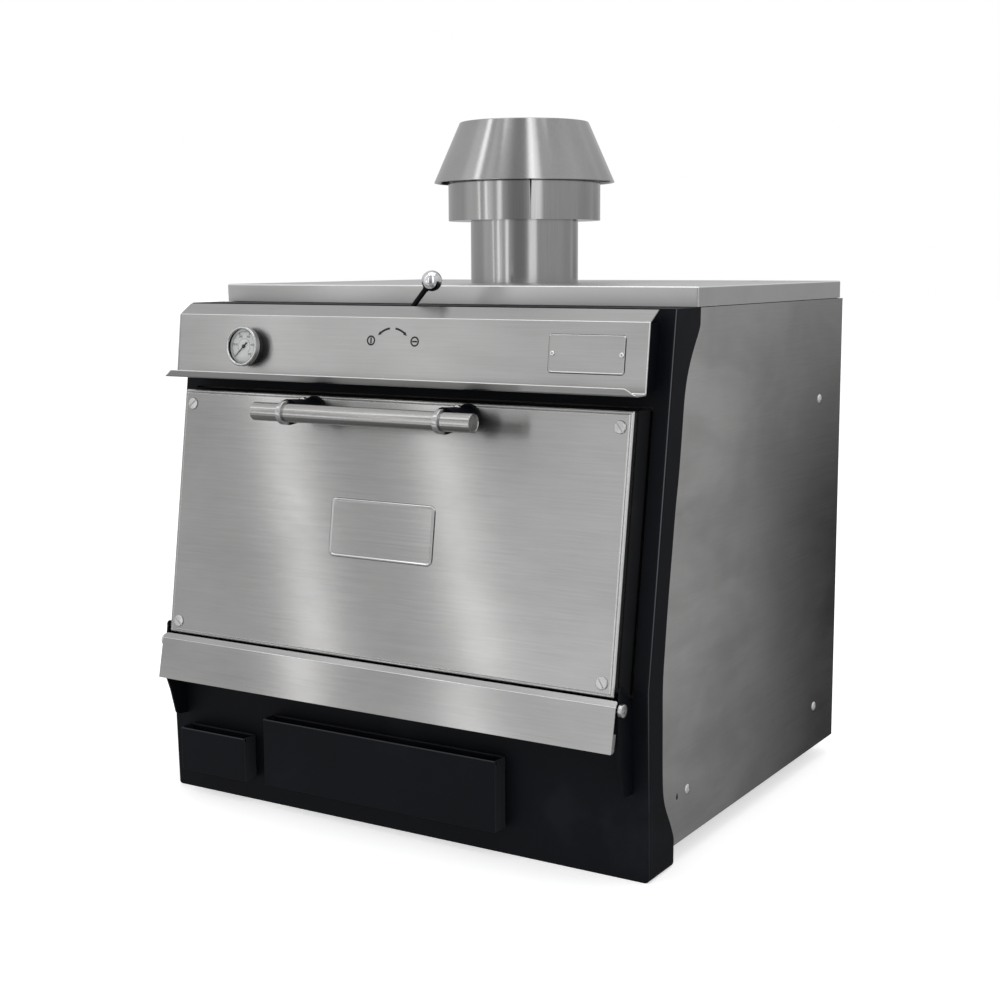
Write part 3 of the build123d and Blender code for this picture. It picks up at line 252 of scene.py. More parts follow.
def coat(name, tone, rough=0.5, grain=0.3, scale=900.0, dust=0.35, sheen=0.12):
    """Fine powder coating: orange-peel grain, slight variation in sheen, a little dust."""
    n = Net(name)
    peel = n.noise(scale, 2.0, 0.5)
    soft = n.noise(9.0, 4.0, 0.55, (1, 1, 1), (1.1, 0.4, 2.0))
    fleck = n.noise(260.0, 3.0, 0.7, (1, 1, 1), (0.3, 2.2, 0.9))
    base = n.math("ADD", n.remap(soft, 0.3, 0.7, 0.3, 0.7), n.remap(fleck, 0.62, 0.8, 0.0, dust))
    color = n.ramp(base, [(0.2, tuple(x * 0.75 for x in tone)), (0.6, tone), (1.0, tuple(min(1.0, x * 2.2 + 0.004) for x in tone))])
    n.set(
        Base_Color=color,
        Metallic=0.0,
        Roughness=n.remap(soft, 0.3, 0.7, rough - 0.05, rough + 0.06),
        Normal=n.bump(peel, grain, 0.00012),
    )
    n.bsdf.inputs["Specular IOR Level"].default_value = sheen
    return n.mat


black = coat("black_stove_coat", (0.0044, 0.0051, 0.0072), sheen=0.09)
black_frame = coat("black_frame_coat", (0.0044, 0.0051, 0.0072), sheen=0.09)
# painted highlight: the corner fillets, whose normals lie half way between front and side, are given a lighter colour,
# weaker towards the bottom
nt = black_frame.node_tree
geo = nt.nodes.new("ShaderNodeNewGeometry")
split = nt.nodes.new("ShaderNodeSeparateXYZ")
nt.links.new(geo.outputs["Normal"], split.inputs[0])
prod = nt.nodes.new("ShaderNodeMath")
prod.operation = "MULTIPLY"
nt.links.new(split.outputs["X"], prod.inputs[0])
nt.links.new(split.outputs["Y"], prod.inputs[1])
size = nt.nodes.new("ShaderNodeMath")
size.operation = "ABSOLUTE"
nt.links.new(prod.outputs[0], size.inputs[0])
fillet_highlight = nt.nodes.new("ShaderNodeMapRange")
for k, x in zip(("From Min", "From Max", "To Min", "To Max"), (0.44, 0.49, 0.0, 1.0)):
    fillet_highlight.inputs[k].default_value = x
nt.links.new(size.outputs[0], fillet_highlight.inputs["Value"])
bend_highlight = nt.nodes.new("ShaderNodeMix")
bend_highlight.data_type = "RGBA"
foot = nt.nodes.new("ShaderNodeSeparateXYZ")
where = nt.nodes.new("ShaderNodeTexCoord")
nt.links.new(where.outputs["Object"], foot.inputs[0])
fade = nt.nodes.new("ShaderNodeMapRange")
for k, x in zip(("From Min", "From Max", "To Min", "To Max"), (0.1, 0.5, 0.08, 0.85)):
    fade.inputs[k].default_value = x
nt.links.new(foot.outputs["Z"], fade.inputs["Value"])
highlight_share = nt.nodes.new("ShaderNodeMath")
highlight_share.operation = "MULTIPLY"
nt.links.new(fillet_highlight.outputs["Result"], highlight_share.inputs[0])
nt.links.new(fade.outputs["Result"], highlight_share.inputs[1])
nt.links.new(highlight_share.outputs[0], bend_highlight.inputs["Factor"])
old = nt.nodes["Principled BSDF"].inputs["Base Color"].links[0].from_socket
nt.links.new(old, bend_highlight.inputs["A"])
bend_highlight.inputs["B"].default_value = (0.1, 0.102, 0.11, 1)
nt.links.new(bend_highlight.outputs["Result"], nt.nodes["Principled BSDF"].inputs["Base Color"])
def drawer_coat(name, top):
    """The drawer fronts' coating, with a painted highlight along the upper edge and painted light on the right side
    faces.
    """
    mat = coat(name, (0.0044, 0.0051, 0.0072), sheen=0.09)
    nt = mat.node_tree
    geo = nt.nodes.new("ShaderNodeNewGeometry")
    split = nt.nodes.new("ShaderNodeSeparateXYZ")
    nt.links.new(geo.outputs["Normal"], split.inputs[0])
    where = nt.nodes.new("ShaderNodeTexCoord")
    spot = nt.nodes.new("ShaderNodeSeparateXYZ")
    nt.links.new(where.outputs["Object"], spot.inputs[0])

    def ranged(socket, values):
        node = nt.nodes.new("ShaderNodeMapRange")
        for k, x in zip(("From Min", "From Max", "To Min", "To Max"), values):
            node.inputs[k].default_value = x
        nt.links.new(socket, node.inputs["Value"])
        return node.outputs["Result"]

    def laid(factor, tone):
        mix = nt.nodes.new("ShaderNodeMix")
        mix.data_type = "RGBA"
        target = nt.nodes["Principled BSDF"].inputs["Base Color"]
        nt.links.new(factor, mix.inputs["Factor"])
        nt.links.new(target.links[0].from_socket, mix.inputs["A"])
        mix.inputs["B"].default_value = tone
        nt.links.new(mix.outputs["Result"], target)

    # painted highlight: the upper edge's bend is lighter
    edge = nt.nodes.new("ShaderNodeMath")
    edge.operation = "MULTIPLY"
    nt.links.new(ranged(spot.outputs["Z"], (top - 0.0024, top - 0.0012, 0.0, 1.0)), edge.inputs[0])
    nt.links.new(ranged(split.outputs["Y"], (-0.8, -0.4, 1.0, 0.0)), edge.inputs[1])
    laid(edge.outputs[0], (0.036, 0.038, 0.044, 1))
    # painted light: faces turned to the right (+X) are lighter, to lift their shading
    laid(ranged(split.outputs["X"], (0.6, 0.9, 0.0, 1.0)), (0.02, 0.021, 0.024, 1))
    return mat


black_door = coat("black_door_edge", (0.010, 0.0105, 0.0115), rough=0.5, sheen=0.14)
gauge_black = coat("gauge_black", (0.006, 0.006, 0.0065), rough=0.3, grain=0.1, sheen=0.3)


def rough_steel(name, tone, rough=0.55, scale=22.0, heat=0.0):
    n = Net(name)
    a = n.noise(scale, 6.0, 0.6, (1, 1, 1), (0.5, 0.1, 0.7), 0.5)
    b = n.noise(scale * 12, 4.0, 0.6)
    v = n.math("ADD", n.math("MULTIPLY", a, 0.7), n.math("MULTIPLY", b, 0.3))
    warm = (tone[0] * (0.8 + heat), tone[1] * (0.72 + heat * 0.4), tone[2] * 0.66)
    color = n.ramp(v, [(0.32, tuple(x * 0.6 for x in tone)), (0.5, tone), (0.66, warm if heat else tuple(min(1, x * 1.3) for x in tone))])
    n.set(Base_Color=color, Metallic=0.9, Roughness=n.remap(a, 0.3, 0.7, rough - 0.12, rough + 0.12), Normal=n.bump(b, 0.3, 0.0003))
    return n.mat


raw = rough_steel("raw_steel", (0.3, 0.295, 0.285))
fired = rough_steel("fired_steel", (0.12, 0.113, 0.108), 0.62, 14.0, 0.16)
iron = rough_steel("cast_iron", (0.05, 0.046, 0.043), 0.7, 40.0)
iron.node_tree.nodes["Principled BSDF"].inputs["Metallic"].default_value = 0.55


def fibrous(name, tone, scale, stretch=(1, 1, 1), depth=0.002, rough=0.95):
    n = Net(name)
    f = n.noise(scale, 6.0, 0.7, stretch, (0, 0, 0), 1.2)
    g = n.noise(scale * 0.12, 3.0, 0.5)
    v = n.math("ADD", n.math("MULTIPLY", f, 0.7), n.math("MULTIPLY", g, 0.3))
    color = n.ramp(v, [(0.3, tuple(x * 0.55 for x in tone)), (0.5, tone), (0.7, tuple(min(1, x * 1.25) for x in tone))])
    n.set(Base_Color=color, Metallic=0.0, Roughness=n.remap(f, 0.3, 0.7, rough - 0.08, min(1.0, rough + 0.05)), Normal=n.bump(f, 0.8, depth))
    return n.mat


wool = fibrous("mineral_wool", (0.55, 0.5, 0.4), 120.0)
rope = fibrous("rope_seal", (0.1, 0.1, 0.095), 420.0, (1, 1, 0.6), 0.001)
rubber = fibrous("rubber", (0.018, 0.018, 0.018), 300.0, (1, 1, 1), 0.0002, 0.7)


def painted(name, tone, rough, spot=0.04, scale=180.0):
    n = Net(name)
    s = n.noise(scale, 4.0, 0.6)
    color = n.ramp(s, [(0.3, tuple(max(0, x - spot) for x in tone)), (0.7, tone)])
    n.set(Base_Color=color, Metallic=0.0, Roughness=n.remap(s, 0.3, 0.7, rough - 0.05, rough + 0.05), Normal=n.bump(s, 0.05, 0.00005))
    return n.mat


dial_paint = painted("dial_white", (0.56, 0.565, 0.56), 0.55, 0.03)
print_ink = painted("printed_black", (0.006, 0.006, 0.007), 0.6, 0.003)
pointer_paint = painted("pointer_black", (0.015, 0.015, 0.016), 0.4, 0.005)

glass = Net("gauge_glass")
smear = glass.noise(45.0, 4.0, 0.6)
glass.set(
    Base_Color=(0.97, 0.985, 0.985),
    Metallic=0.0,
    Roughness=glass.remap(smear, 0.3, 0.7, 0.0, 0.05),
)
glass.bsdf.inputs["Transmission Weight"].default_value = 1.0
glass.bsdf.inputs["IOR"].default_value = 1.01
glass.bsdf.inputs["Alpha"].default_value = 0.25
glass = glass.mat

CAD_LOOK = {
    "front_frame": black_frame, "hinge_bracket_left": black, "hinge_bracket_right": black, "ash_drawer_front": black,
    "air_drawer": black, "door_body": black_door, "fascia_brackets": black, "handle_posts": black, "lever_rod": gauge_black,
    "side_panel_left": steel_y, "side_panel_right": steel_y, "rear_panel": steel_x, "panel_screws": fastener,
    "top_lid": steel_lid, "flue_pipe": steel_z, "arrestor_ring": steel_z, "flue_cap": steel_z, "cap_brackets": raw,
    "arrestor_mesh": raw, "fascia_panel": steel_x, "fascia_plate": steel_x, "plate_rivets": fastener,
    "gauge_case": gauge_black, "gauge_bezel": bezel_mat, "bracket_bolts": fastener, "sill_lip": steel_x,
    "door_skin": steel_x, "door_plate": steel_x, "door_screws": fastener, "handle_bar": steel_turned,
    "handle_collars": fastener, "handle_screws": fastener, "door_liner": fired, "cooking_grid": raw,
    "base_plate": raw, "firing_chamber": fired, "chamber_legs": raw, "grate_ledges": fired, "rack_rails": raw,
    "ash_funnel": raw, "ash_housing": raw, "air_duct": raw, "flue_duct": fired, "damper_shaft": raw,
    "damper_disc": fired, "ash_drawer_tray": raw, "hinge_pins": black, "gauge_probe": brass, "charcoal_grate": iron,
    "insulation_blanket": wool, "door_insulation": wool, "door_gasket": rope, "lid_gasket": rope,
    "gauge_dial": dial_paint, "gauge_pointer": pointer_paint, "gauge_glass": glass, "shaft_bushes": brass,
    "feet": rubber, "lever_knob": chrome,
}
for name, look in CAD_LOOK.items():
    data = NODES[name].data
    data.materials.clear()
    data.materials.append(look)

# folded sheet edges catch a little light
for name, width in (
    ("front_frame", 1.2), ("top_lid", 1.6), ("hinge_bracket_left", 0.6), ("hinge_bracket_right", 0.6), ("side_panel_left", 0.5),
    ("side_panel_right", 0.5), ("rear_panel", 0.5), ("door_body", 1.0), ("fascia_brackets", 0.5), ("cap_brackets", 0.4),
):
    m = NODES[name].modifiers.new("edge", "BEVEL")
    m.width = width / 1000
    m.segments = 3
    m.limit_method = "ANGLE"
    m.angle_limit = math.radians(35)
    m.harden_normals = True
    m.use_clamp_overlap = True

# ----------------------------------------------------------------- mesh helpers


def seal(name, bm, look, body, stands_for=(), bevel=0.0, segs=2, sharp=40.0, rim=None):
    """Turns a bmesh into a piece with clean normals, a small edge rounding and even shading."""
    bmesh.ops.remove_doubles(bm, verts=bm.verts, dist=1e-7)
    bmesh.ops.recalc_face_normals(bm, faces=bm.faces)
    for f in bm.faces:
        f.smooth = True
    mesh = bpy.data.meshes.new(name)
    bm.to_mesh(mesh)
    bm.free()
    mesh.materials.append(look)
    o = bpy.data.objects.new(name, mesh)
    scene.collection.objects.link(o)
    if bevel:
        m = o.modifiers.new("edge", "BEVEL")
        m.width = bevel / 1000
        m.segments = segs
        m.limit_method = "ANGLE"
        m.angle_limit = math.radians(32)
        m.use_clamp_overlap = True
        if rim:
            mesh.materials.append(rim)
            m.material = 1
    else:
        mesh.set_sharp_from_angle(angle=math.radians(sharp))
    w = o.modifiers.new("even", "WEIGHTED_NORMAL")
    w.keep_sharp = True
    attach(o, body)
    if stands_for:
        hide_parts(*stands_for)
    return o


def paint_rim_shade(o, face, cx, cy, hx, hy):
    """Gives the rim of a pressed plate, outside half sizes hx and hy, painted shade: a dark shadow line."""
    o.data.materials.append(steel_shade_rim)
    for f in o.data.polygons:
        d = (f.center - face.o) * 1000
        if abs(d.dot(face.x) - cx) > hx or abs(d.dot(face.s) - cy) > hy:
            f.material_index = 1
    return o


def slab(bm, face, loops, n0, n1):
    """A closed plate between two heights over a face, from an outline and its holes."""
    pts = [p for l in loops for p in l]
    top = [bm.verts.new(face.at(x, s, n1)) for x, s in pts]
    low = [bm.verts.new(face.at(x, s, n0)) for x, s in pts]
    if len(loops) == 1:
        bm.faces.new(top)
        bm.faces.new(low[::-1])
    else:
        for t in tessellate_polygon([[Vector((x, s, 0)) for x, s in l] for l in loops]):
            bm.faces.new([top[i] for i in t])
            bm.faces.new([low[i] for i in reversed(t)])
    k = 0
    for l in loops:
        m = len(l)
        for i in range(m):
            a, b = k + i, k + (i + 1) % m
            bm.faces.new((low[a], low[b], top[b], top[a]))
        k += m


def rrect(cx, cy, hx, hy, r, seg=6):
    """A rounded rectangle's outline, always 4 * (seg + 1) points."""
    out = []
    for qx, qy, a0 in ((1, 1, 0), (-1, 1, 90), (-1, -1, 180), (1, -1, 270)):
        for i in range(seg + 1):
            a = math.radians(a0 + 90 * i / seg)
            out.append((cx + qx * (hx - r) + r * math.cos(a), cy + qy * (hy - r) + r * math.sin(a)))
    return out


def circle(cx, cy, r, n=40, a0=0.0):
    return [(cx + r * math.cos(a0 + 2 * math.pi * i / n), cy + r * math.sin(a0 + 2 * math.pi * i / n)) for i in range(n)]


def rings(bm, face, cx, cy, steps, seg=6):
    """A closed shell through rounded rectangles (half x, half y, corner radius, height)."""
    rows = []
    for hx, hy, r, n in steps:
        rows.append([bm.verts.new(face.at(x, s, n)) for x, s in rrect(cx, cy, hx, hy, r, seg)])
    bm.faces.new(rows[0])
    for a, b in zip(rows, rows[1:]):
        m = len(a)
        for i in range(m):
            bm.faces.new((a[i], b[i], b[(i + 1) % m], a[(i + 1) % m]))
    bm.faces.new(rows[-1][::-1])


def lathe(bm, origin, axis, profile, seg=64, loop=False):
    """A turned solid: profile points are (radius, distance along the axis) in mm."""
    axis = Vector(axis).normalized()
    u = Vector((1, 0, 0)) if abs(axis.x) < 0.5 else Vector((0, 0, 1))
    u = (u - axis * u.dot(axis)).normalized()
    v = axis.cross(u)
    rows = []
    for r, h in profile:
        c = origin + axis * (h / 1000)
        if r < 1e-5:
            rows.append([bm.verts.new(c)])
        else:
            rows.append([
                bm.verts.new(c + (u * math.cos(2 * math.pi * i / seg) + v * math.sin(2 * math.pi * i / seg)) * (r / 1000))
                for i in range(seg)
            ])
    pairs = list(zip(rows, rows[1:]))
    if loop:
        pairs.append((rows[-1], rows[0]))
    for a, b in pairs:
        if len(a) == 1 and len(b) == 1:
            continue
        for i in range(seg):
            j = (i + 1) % seg
            if len(a) == 1:
                bm.faces.new((a[0], b[j], b[i]))
            elif len(b) == 1:
                bm.faces.new((a[i], a[j], b[0]))
            else:
                bm.faces.new((a[i], a[j], b[j], b[i]))


def soften(points, radius, seg=4, closed=False):
    """Rounds the corners of a 2-D path. radius is one number or one for each corner."""
    n = len(points)
    out = []
    for i, p in enumerate(points):
        r = radius[i] if isinstance(radius, (list, tuple)) else radius
        if not closed and i in (0, n - 1) or r <= 0:
            out.append(p)
            continue
        p = Vector(p)
        a, b = Vector(points[i - 1]) - p, Vector(points[(i + 1) % n]) - p
        la, lb = a.length, b.length
        if la < 1e-6 or lb < 1e-6:
            out.append(tuple(p))
            continue
        a, b = a / la, b / lb
        half = a.angle(b) / 2
        if half > math.radians(88):
            out.append(tuple(p))
            continue
        cut = min(r / math.tan(half), la * 0.49, lb * 0.49)
        r = cut * math.tan(half)
        c = p + (a + b).normalized() * (r / math.sin(half))
        s, e = p + a * cut - c, p + b * cut - c
        turn = s.angle_signed(e)
        for k in range(seg + 1):
            t = -turn * k / seg
            out.append((c.x + s.x * math.cos(t) - s.y * math.sin(t), c.y + s.x * math.sin(t) + s.y * math.cos(t)))
    return out


def bend(bm, path, t, radius, loops, seg=6):
    """Folds a flat sheet along a path of (depth, height) points. Loops are (x, distance along the path)."""
    flat = Face(Vector((0, 0, 0)), (1, 0, 0), (0, 1, 0), (0, 0, 1))
    start = len(bm.verts)
    old = set(bm.verts)
    slab(bm, flat, loops, 0.0, t)
    new = [v for v in bm.verts if v not in old]
    faces = [f for f in bm.faces if all(v in set(new) for v in f.verts)]
    length = [0.0]
    for (ay, az_), (by, bz) in zip(path, path[1:]):
        length.append(length[-1] + math.hypot(by - ay, bz - az_))
    dirs = []
    for (ay, az_), (by, bz) in zip(path, path[1:]):
        d = math.hypot(by - ay, bz - az_)
        dirs.append(((by - ay) / d, (bz - az_) / d))
    turns = []
    for i in range(1, len(path) - 1):
        d0, d1 = dirs[i - 1], dirs[i]
        ang = math.atan2(d0[0] * d1[1] - d0[1] * d1[0], d0[0] * d1[0] + d0[1] * d1[1])
        c = abs(radius * math.tan(ang / 2))
        turns.append((length[i], c, ang, i))
    for at, c, ang, i in turns:
        for k in range(seg + 1):
            u = at - c + 2 * c * k / seg
            geom = [g for g in list(bm.verts) + list(bm.edges) + list(bm.faces)]
            if start:
                keep = set(v for v in bm.verts if v not in old)
                geom = [v for v in keep] + [e for e in bm.edges if e.verts[0] in keep] + [f for f in bm.faces if f.verts[0] in keep]
            bmesh.ops.bisect_plane(bm, geom=geom, dist=1e-7, plane_co=Vector((0, u / 1000, 0)), plane_no=Vector((0, 1, 0)))
    for v in bm.verts:
        if v in old:
            continue
        x, u, w = v.co.x * 1000, v.co.y * 1000, v.co.z * 1000
        seg_i = 0
        while seg_i < len(dirs) - 1 and u > length[seg_i + 1]:
            seg_i += 1
        d = dirs[seg_i]
        base = path[seg_i]
        y = base[0] + d[0] * (u - length[seg_i])
        z = base[1] + d[1] * (u - length[seg_i])
        for at, c, ang, i in turns:
            if abs(u - at) <= c + 1e-6 and c > 1e-9:
                f = (u - (at - c)) / (2 * c)
                d0 = dirs[i - 1]
                side = 1.0 if ang > 0 else -1.0
                n0 = (-d0[1] * side, d0[0] * side)
                py, pz = path[i][0] - d0[0] * c, path[i][1] - d0[1] * c
                cy, cz = py + n0[0] * radius, pz + n0[1] * radius
                a = ang * f
                ry, rz = py - cy, pz - cz
                y = cy + ry * math.cos(a) - rz * math.sin(a)
                z = cz + ry * math.sin(a) + rz * math.cos(a)
                d = (d0[0] * math.cos(a) - d0[1] * math.sin(a), d0[0] * math.sin(a) + d0[1] * math.cos(a))
                break
        v.co = M(x, y - d[1] * w, z + d[0] * w)


def boolean(bm_a, bm_b):
    """bm_a minus bm_b, as a new bmesh."""
    obs = []
    for tag, b in (("a", bm_a), ("b", bm_b)):
        bmesh.ops.remove_doubles(b, verts=b.verts, dist=1e-7)
        bmesh.ops.recalc_face_normals(b, faces=b.faces)
        mesh = bpy.data.meshes.new("tmp_" + tag)
        b.to_mesh(mesh)
        b.free()
        o = bpy.data.objects.new("tmp_" + tag, mesh)
        scene.collection.objects.link(o)
        obs.append(o)
    m = obs[0].modifiers.new("cut", "BOOLEAN")
    m.operation = "DIFFERENCE"
    m.solver = "EXACT"
    m.use_self = True
    m.object = obs[1]
    dg = bpy.context.evaluated_depsgraph_get()
    made = bpy.data.meshes.new_from_object(obs[0].evaluated_get(dg))
    out = bmesh.new()
    out.from_mesh(made)
    for o in obs:
        bpy.data.objects.remove(o)
    bpy.data.meshes.remove(made)
    return out


def scatter(bm, tool, spots):
    """Adds copies of a mesh made round the origin with z outwards, in mm, at (face, x, s, n, turn)."""
    src = bpy.data.meshes.new("tmp_tool")
    tool.to_mesh(src)
    tool.free()
    for face, x, s, n, turn in spots:
        c, d = math.cos(math.radians(turn)), math.sin(math.radians(turn))
        e = bmesh.new()
        e.from_mesh(src)
        for v in e.verts:
            px, py, pz = v.co
            v.co = face.at(x + px * c - py * d, s + px * d + py * c, n + pz)
        tmp = bpy.data.meshes.new("tmp_copy")
        e.to_mesh(tmp)
        e.free()
        bm.from_mesh(tmp)
        bpy.data.meshes.remove(tmp)
    bpy.data.meshes.remove(src)


MM = Face(Vector((0, 0, 0)), (1000, 0, 0), (0, 1000, 0), (0, 0, 1000))  # raw mm, for scattered tools


def tool_lathe(profile, seg=48, loop=False):
    b = bmesh.new()
    lathe(b, Vector((0, 0, 0)), (0, 0, 1), [(r * 1000, h * 1000) for r, h in profile], seg, loop)
    return b


def tool_box(x0, x1, y0, y1, z0, z1):
    b = bmesh.new()
    slab(b, MM, [[(x0, y0), (x1, y0), (x1, y1), (x0, y1)]], z0, z1)
    return b


def tool_prism(points, z0, z1):
    b = bmesh.new()
    slab(b, MM, [points], z0, z1)
    return b


# ------------------------------------------------------------------------ door
SKIN_C = (-7.4 + 390.1) / 2
SKIN_H = (390.1 + 7.4) / 2
bm = bmesh.new()
edge = soften([
    (-8.3, 39.60), (-6.0, 39.60), (-4.6, 38.75), (-4.35, 38.05), (-3.95, 38.05), (-3.6, 38.7), (-1.7, 38.4), (0.0, 35.6), (0.0, 26.6), (-1.2, 26.6), (-1.3, 35.0), (-3.3, 37.0),
], [0, 0.8, 0.5, 0.12, 0.12, 0.5, 1.0, 1.6, 0.3, 0.3, 0.8, 0.2], 4)
rings(bm, DOOR, 0, SKIN_C, [(413.9 + d, SKIN_H + 2.4 + d, max(0.4, 2.0 + d * 0.3), n) for d, n in edge], 5)
skin = seal("door_skin_folded", bm, steel_x, "door", ["door_skin"], sharp=45)
# two thin bands round the edge's bevel get the painted highlight
skin.data.materials.append(steel_highlight_edge)
for f in skin.data.polygons:
    d = (f.center - DOOR.o) * 1000
    off = max(abs(d.dot(DOOR.x)) - 413.9, abs(d.dot(DOOR.s) - SKIN_C) - SKIN_H - 2.4)
    if d.dot(DOOR.n) > 33 and (-2.0 < off < -0.2 or -6.2 < off < -4.9):
        f.material_index = 1

PLATE_S = 190.5
bm = bmesh.new()
rings(bm, DOOR, 0, PLATE_S, [
    (90.6, 39.6, 5.0, 40.35), (92.0, 40.9, 6.2, 40.38), (93.0, 41.8, 7.2, 40.5), (93.8, 42.6, 7.9, 40.78),
    (94.6, 43.4, 8.5, 41.0), (95.4, 44.2, 9.0, 40.98), (96.1, 44.9, 9.4, 40.72), (96.6, 45.4, 9.7, 40.3),
    (97.0, 45.75, 10.0, 39.9), (97.0, 45.75, 10.0, 39.55), (96.0, 44.8, 9.5, 39.5), (95.0, 43.8, 9.0, 39.55),
], 8)
paint_rim_shade(seal("door_plate_pressed", bm, steel_x, "door", ["door_plate"], sharp=75), DOOR, 0, PLATE_S, 96.2, 45.0)

DOOR_SCREWS = [(-395, 369.1, 43), (395, 369.1, -54), (-395, 9.4, -39), (395, 9.4, -57)]
head = tool_lathe([(0, 2.4), (4.0, 2.38), (7.4, 2.25), (8.6, 2.0), (9.3, 1.55), (9.6, 0.95), (9.6, 0.7), (9.0, 0.45), (9.0, -0.3), (0, -0.3)], 56)
head = boolean(head, tool_box(-11, 11, -1.0, 1.0, 0.9, 4))
shank = tool_lathe([(0, -0.2), (5.0, -0.2), (5.0, -24), (4.2, -26.5), (0, -26.5)], 24)
bm = bmesh.new()
scatter(bm, head, [(DOOR, x, s, 39.6, t) for x, s, t in DOOR_SCREWS])
scatter(bm, shank, [(DOOR, x, s, 39.6, t) for x, s, t in DOOR_SCREWS])
seal("door_screws_slotted", bm, screw_mat, "door", ["door_screws"], bevel=0.25)

# ---------------------------------------------------------------------- handle
BAR = M(0, -224, 658.5)
bm = bmesh.new()
rim = soften([(0, 199.4), (12.2, 199.4), (12.7, 200.0), (14.2, 200.0), (14.2, 0)], [0, 0.2, 0.3, 1.1, 0], 4)
lathe(bm, BAR, (1, 0, 0), [(r, -h) for r, h in rim[:-1]] + [(14.2, -60), (14.2, 60)] + [(r, h) for r, h in rim[:-1]][::-1], 72)
seal("handle_bar_turned", bm, steel_turned, "door", ["handle_bar"], sharp=50)

bm = bmesh.new()
for x, side in ((-143, -1), (143, 1)):
    ring = soften([
        (14.25, -5.5), (18.5, -5.5), (18.5, 3.0), (16.2, 3.4), (16.2, 5.5), (14.25, 5.5),
    ], [0, 1.6, 2.0, 0.3, 0.6, 0], 5, True)
    lathe(bm, M(x, -224, 658.5), (-1, 0, 0), ring, 72, True)
seal("handle_collars_turned", bm, bezel_mat, "door", ["handle_collars"], sharp=50)

# each post lies level; its door end follows the door's slope and its front end follows the bar
POST_S = (658.5 - 285 - 39.6 * math.sin(SLOPE)) / math.cos(SLOPE)
bm = bmesh.new()
for x in (-143, 143):
    lathe(bm, DOOR.at(x, POST_S, 39.6), DOOR.n, soften([(0, 0), (20, 0), (20, 5), (17.5, 5), (17.5, 1), (0, 1)], [0, 0.3, 1.6, 0.4, 0, 0], 4), 64)
    rows = []
    for k in range(9):
        row = []
        for i in range(72):
            a = 2 * math.pi * i / 72
            r = 18.0 + 2.0 * max(0.0, (k - 5) / 3)
            px, pz = x + r * math.cos(a), 658.5 + r * math.sin(a)
            back = -163 + (pz - 285) * math.tan(SLOPE) - 40.2 / math.cos(SLOPE)
            dz = pz - 658.5
            reach = 18.55 if abs(px - x) < 6.2 else 14.25
            near = -224 + math.sqrt(max(0.0, reach * reach - dz * dz))
            front = max(-214.0, near)
            y = back + (front - back) * k / 8
            row.append(bm.verts.new(M(px, y, pz)))
        rows.append(row)
    for a, b in zip(rows, rows[1:]):
        for i in range(72):
            bm.faces.new((a[i], a[(i + 1) % 72], b[(i + 1) % 72], b[i]))
    hub_a = bm.verts.new(M(x, -163 + 373.5 * math.tan(SLOPE) - 40.2 / math.cos(SLOPE), 658.5))
    hub_b = bm.verts.new(M(x, -205.4, 658.5))
    for i in range(72):
        bm.faces.new((hub_a, rows[0][(i + 1) % 72], rows[0][i]))
        bm.faces.new((hub_b, rows[-1][i], rows[-1][(i + 1) % 72]))
seal("handle_posts_level", bm, black, "door", ["handle_posts"], sharp=42)

bm = bmesh.new()
TOPF = Face(M(0, 0, 0), (1, 0, 0), (0, 1, 0), (0, 0, 1))
head = tool_lathe([(0, 3.6), (2.2, 3.5), (3.9, 3.1), (5.0, 2.3), (5.6, 1.2), (5.6, 0.0), (0, 0.0)], 40)
head = boolean(head, tool_prism(circle(0, 0, 1.9, 6), 1.8, 6))
shank = tool_lathe([(0, 0.1), (2.5, 0.1), (2.5, -9.6), (0, -9.6)], 20)
spots = [(TOPF, x, -178, 675.6, t) for x, t in ((-143, 10), (143, 35))]
scatter(bm, head, spots)
scatter(bm, shank, spots)
seal("handle_screws_domed", bm, fastener, "door", ["handle_screws"], bevel=0.15)

# ---------------------------------------------------------------------- fascia
path = [(-105.5, 818.4), (-132, 802), (-144.2, 702.5), (-172.5, 702.5), (-176, 712)]
u1 = math.hypot(26.5, 16.4)
u2 = u1 + math.hypot(12.2, 99.5)
u3 = u2 + 28.3
u4 = u3 + math.hypot(3.5, 9.5)
HALF = 432.0


def lip_corner(side):
    """The free edge's end: it curves down to the gutter in an S before the fascia's end."""
    pts = []
    for k in range(13):
        t = k / 12
        pts.append((side * (HALF - 18.5 + 17.5 * t), u4 - 0.2 - 9.4 * t * t * (3 - 2 * t)))
    return pts


def bead(bm, pts, r, seg=10):
    """A round rolled edge along a line of points, closed at both ends."""
    rows = []
    for i, p in enumerate(pts):
        t = (pts[min(i + 1, len(pts) - 1)] - pts[max(i - 1, 0)]).normalized()
        a = t.cross(Vector((0.0, 1.0, 0.0))).normalized()
        b = t.cross(a)
        rows.append([bm.verts.new(p + (a * math.cos(2 * math.pi * k / seg) + b * math.sin(2 * math.pi * k / seg)) * (r / 1000)) for k in range(seg)])
    for p, q in zip(rows, rows[1:]):
        for k in range(seg):
            bm.faces.new((p[k], p[(k + 1) % seg], q[(k + 1) % seg], q[k]))
    bm.faces.new(rows[0][::-1])
    bm.faces.new(rows[-1])


